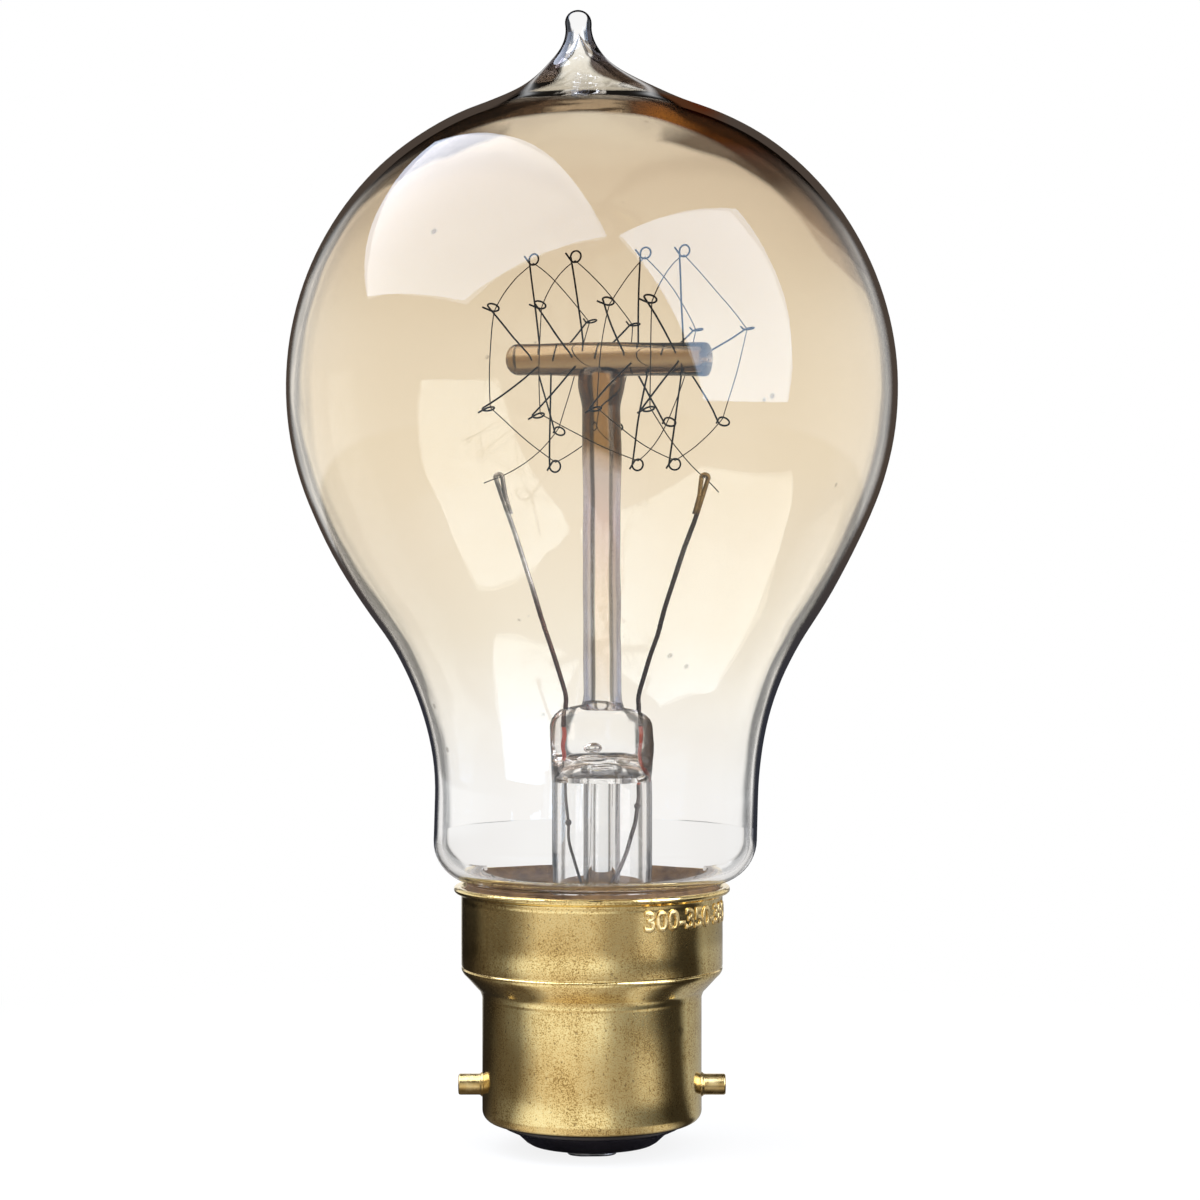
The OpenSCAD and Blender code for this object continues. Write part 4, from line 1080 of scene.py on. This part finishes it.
def bayonet_pins(finish):
    """Solid pins on a wider root that is bevelled down to the pin."""
    root, rounding = [(0, 10.3), (1.25, 10.3), (1.25, 11.0), (1.2, 11.08)], 0.2
    for s, side in ((-1, "left"), (1, "right")):
        outline = (root + [(PIN_R + 0.04, 11.2), (PIN_R, 11.3)]
                   + arc((PIN_R - rounding, PIN_TIP - rounding), rounding, 0, 90, 5)
                   + [(0.4, PIN_TIP - 0.03), (0, PIN_TIP - 0.05)])
        pin = turned("brass_pin_" + side, outline, steps=40)
        lay(pin, Matrix.Rotation(math.radians(90 * s), 4, "Y"))
        finished(pin, finish, "cap_brass", "bayonet_pin_" + side)


def insulator(finish):
    """The moulded button of black glass that closes the barrel, its face below the mouth."""
    low = -5.8
    outline = [(0, low), (6.0, low), (6.3, low + 0.06), (6.7, low + 0.3), (7.6, low + 1.15),
               (8.9, low + 1.75), (9.1, BARREL_LOW - 0.4), (9.25, BARREL_LOW), (9.55, BARREL_LOW + 0.1),
               (9.58, BARREL_LOW + 0.5), (10.4, -2.2), (10.5, -1.6), (0, -1.45)]
    disc = turned("black_glass_insulator", outline, steps=96)
    return finished(disc, finish, "black_glass", "insulator", smooth=30)


def contacts(brass, solder):
    """Brass contact plates in the insulator's face, each under a domed solder pad."""
    for s, side in ((-1, "front"), (1, "back")):
        plate = obround_pad("contact_plate_" + side, *PLATE_SIZE, s * CONTACT_Y, 0.05)
        finished(plate, brass, "contact_brass", "contact_" + side)
        pad = obround_pad("solder_pad_" + side, *SOLDER_SIZE, s * CONTACT_Y, 0.17)
        ripple(pad, 1.5, 0.06)
        finished(pad, solder, "solder", "solder_" + side)


def obround_pad(name, length, width, low, high, y, edge):
    """A round-ended pad: a disc whose halves are moved apart, with its edges rounded."""
    fresh()
    bpy.ops.mesh.primitive_cylinder_add(vertices=48, radius=width / 2 * MM, depth=(high - low) * MM,
                                        location=(0, y * MM, (high + low) / 2 * MM))
    pad = bpy.context.object
    pad.name = name
    bpy.ops.object.transform_apply()
    half = (length - width) / 2 * MM
    for spot in pad.data.vertices:
        spot.co.x += math.copysign(half, spot.co.x) if abs(spot.co.x) > 1e-7 else half
    apply_modifier(pad, "BEVEL", width=edge * MM, segments=4, limit_method="ANGLE",
                   angle_limit=math.radians(50))
    return pad


def cement_ring(finish):
    """Basing cement between the glass and the skirt, smeared up to the rim."""
    in_r, out_r, top = SEAL_R + 0.02, SKIRT_R - SHEET - 0.02, RIM_Z - 0.42
    outline = [(in_r, SEAL_Z), (out_r, SEAL_Z), (out_r, top - 0.5), (out_r + 0.12, top),
               (out_r - 0.1, top + 0.3), (SEAL_R + 0.3, top + 0.62), (in_r + 0.1, top + 0.66),
               (in_r, top + 0.5)]
    ring = turned("cement_ring", outline, steps=120, closed=True)
    ripple(ring, 2.5, 0.12)
    return finished(ring, finish, "basing_cement", "cement")


def skirt_numbers(finish):
    """Plain numbers stamped up out of the skirt, to the right of the middle."""
    fresh()
    bpy.ops.object.text_add(location=(0, 0, 0))
    text = bpy.context.object.data
    text.body = "300-350-380"
    text.size = 2.75 * MM
    text.extrude = 0.1 * MM
    text.bevel_depth = 0.11 * MM
    text.bevel_resolution = 2
    text.space_character = 0.98
    bpy.ops.object.convert(target="MESH")
    words = bpy.context.object
    words.name = "skirt_numbers"
    left = min(v.co.x for v in words.data.vertices)
    for spot in words.data.vertices:
        angle = math.radians(NUMBERS_START) + (spot.co.x - left) / (SKIRT_R * MM)
        r = (SKIRT_R - 0.06) * MM + spot.co.z
        spot.co = (r * math.sin(angle), -r * math.cos(angle), NUMBERS_LOW * MM + spot.co.y)
    bpy.context.view_layer.objects.active = words
    bpy.ops.object.mode_set(mode="EDIT")
    tidy_skin()
    return finished(words, finish, "cap_brass")


# Studio

# How far up the white reaches behind, and at the sides and in front, as sines of the angles
SHEET_HIGH, SIDE_HIGH = 0.46, 0.15


def soft_box(name, corner, side_a, side_b, radiance, colour):
    """A rectangular lamp from one corner and its two sides, in metres, that faces the bulb."""
    a, b = Vector(side_a), Vector(side_b)
    middle = Vector(corner) + a / 2 + b / 2
    normal = a.cross(b).normalized()
    if normal.dot(middle) < 0:
        normal.negate()
    x = a.normalized()
    y = normal.cross(x)
    light = bpy.data.lights.new(name, "AREA")
    light.shape = "RECTANGLE"
    light.size, light.size_y = a.length, abs(b.dot(y))
    light.energy = radiance * math.pi * light.size * light.size_y
    light.color = colour
    lamp = bpy.data.objects.new(name, light)
    lamp.matrix_world = Matrix.Translation(middle) @ Matrix((x, y, normal)).transposed().to_4x4()
    bpy.context.scene.collection.objects.link(lamp)


def studio_world():
    """White behind up to the sheet's upper edge, paler sides and front, and a dark ceiling above them."""
    f = Finish(bpy.data.worlds.new("studio"))
    bpy.context.scene.world = f.owner
    x, y, up = f.axes(f.add("ShaderNodeTexCoord", out="Generated"))
    behind = f.between(y, 0.75, 0.90)
    edge = behind * SHEET_HIGH + (1 - behind) * SIDE_HIGH
    soft = behind * 0.04 + (1 - behind) * 0.45
    dark = f.between((up - edge) / soft, 0.0, 1.0)
    through_glass = f.ray("Transmission")
    ceiling = f.mix(through_glass, (0.03, 0.025, 0.02), (0.42, 0.36, 0.30))
    shade = f.mix(dark, glass_surroundings(f, x, y), ceiling)
    seen, fill, white = (f.add("ShaderNodeBackground", values={"Color": colour, "Strength": strength})
                         for colour, strength in ((shade, 1.0), ((1, 1, 1), 0.5), ((1, 1, 1), 1.0)))
    light = f.both(f.ray("Glossy").maths("MAXIMUM", through_glass), fill, seen)
    f.surface(f.both(f.ray("Camera"), light, white), "ShaderNodeOutputWorld")


def studio():
    studio_world()
    fresh()
    bpy.ops.mesh.primitive_plane_add(size=80, location=(0, 0, cad_low[2]))
    floor = bpy.context.object
    floor.name = "white_floor_sheet"
    floor.data.materials.append(floor_white())
    height = DOME_Z * MM
    soft_box("right_window", (0.081, -0.331, 0.428 + height), (0.396, 0.304, 0.170), (0.550, -0.259, -0.817),
             4.1, (0.74, 0.82, 1.0))
    soft_box("left_panel", (0.053, -0.396, 0.497 + height), (-0.907, -0.320, 0.038), (-0.311, 0.878, -0.045),
             3.7, (0.78, 0.84, 1.0))


def camera():
    lens = bpy.data.cameras.new("camera")
    lens.sensor_width = 36
    lens.lens = CAMERA_LENS
    lens.clip_end = 100
    eye = bpy.data.objects.new("camera", lens)
    eye.location = (CAMERA_ASIDE * MM, -CAMERA_AWAY * MM, CAMERA_HIGH * MM)
    eye.rotation_euler = (math.radians(90), 0, 0)
    bpy.context.scene.collection.objects.link(eye)
    bpy.context.scene.camera = eye


def settings():
    scene = bpy.context.scene
    scene.view_settings.view_transform = "Standard"
    scene.cycles.max_bounces = 32
    scene.cycles.transmission_bounces = 32
    scene.cycles.glossy_bounces = 12
    scene.cycles.transparent_max_bounces = 32
    scene.cycles.use_denoising = True


camera()
glass_envelope()
stem_tube(stem_clear("clear_tube_glass", CLEAR_TINTS, GREY_EDGE_SHADES, 0.50, outer_r=TUBE_R, extra=milky_foot))
pinched_press(stem_clear("clear_press_glass", CLEAR_TINTS, GREY_EDGE_SHADES, 0.38, extra=brown_press_corner))
exhaust_tube(stem_clear("clear_exhaust_glass", CLEAR_TINTS, GREY_EDGE_SHADES, 0.30, outer_r=EXHAUST_R))
stem_rod(stem_clear("browned_rod_glass", ROD_TINTS_AND_REFLECTION, ROD_EDGE_SHADES, 0.10, lean=0.7))
crossbar(stem_clear("browned_bar_glass", BAR_TINTS_AND_LIGHT, BAR_EDGE_SHADES, 0.45, tinted_front_only=True))
supports(wire_metal("support_steel", (0.004, 0.003, 0.003), (0.016, 0.012, 0.010), 700.0, 1.0, 0.40))
filament(wire_metal("filament_metal", (0.010, 0.008, 0.006), (0.04, 0.03, 0.025), 900.0, 0.9, 0.5))
leads((lead_metal("left_nickel_metal", (0.10, 0.050, 0.038), (0.58, 0.60, 0.64), (0.30, 0.29, 0.28)),
       lead_metal("right_nickel_metal", (0.045, 0.030, 0.026), (0.085, 0.075, 0.070), (0.28, 0.19, 0.08))),
      wire_metal("red_seal_copper", (0.30, 0.030, 0.014), (0.52, 0.08, 0.035), 600.0, 0.3, 0.3),
      wire_metal("dark_copper", (0.025, 0.018, 0.017), (0.09, 0.068, 0.062), 500.0, 0.5, 0.35))
brass_shell(cap_brass())
pin_brass = bright_brass("bright_pin_brass")
skirt_numbers(pin_brass)
bayonet_pins(pin_brass)
insulator(black_glass())
contacts(bright_brass("contact_plate_brass"), solder_grey())
cement_ring(basing_cement())
studio()
settings()
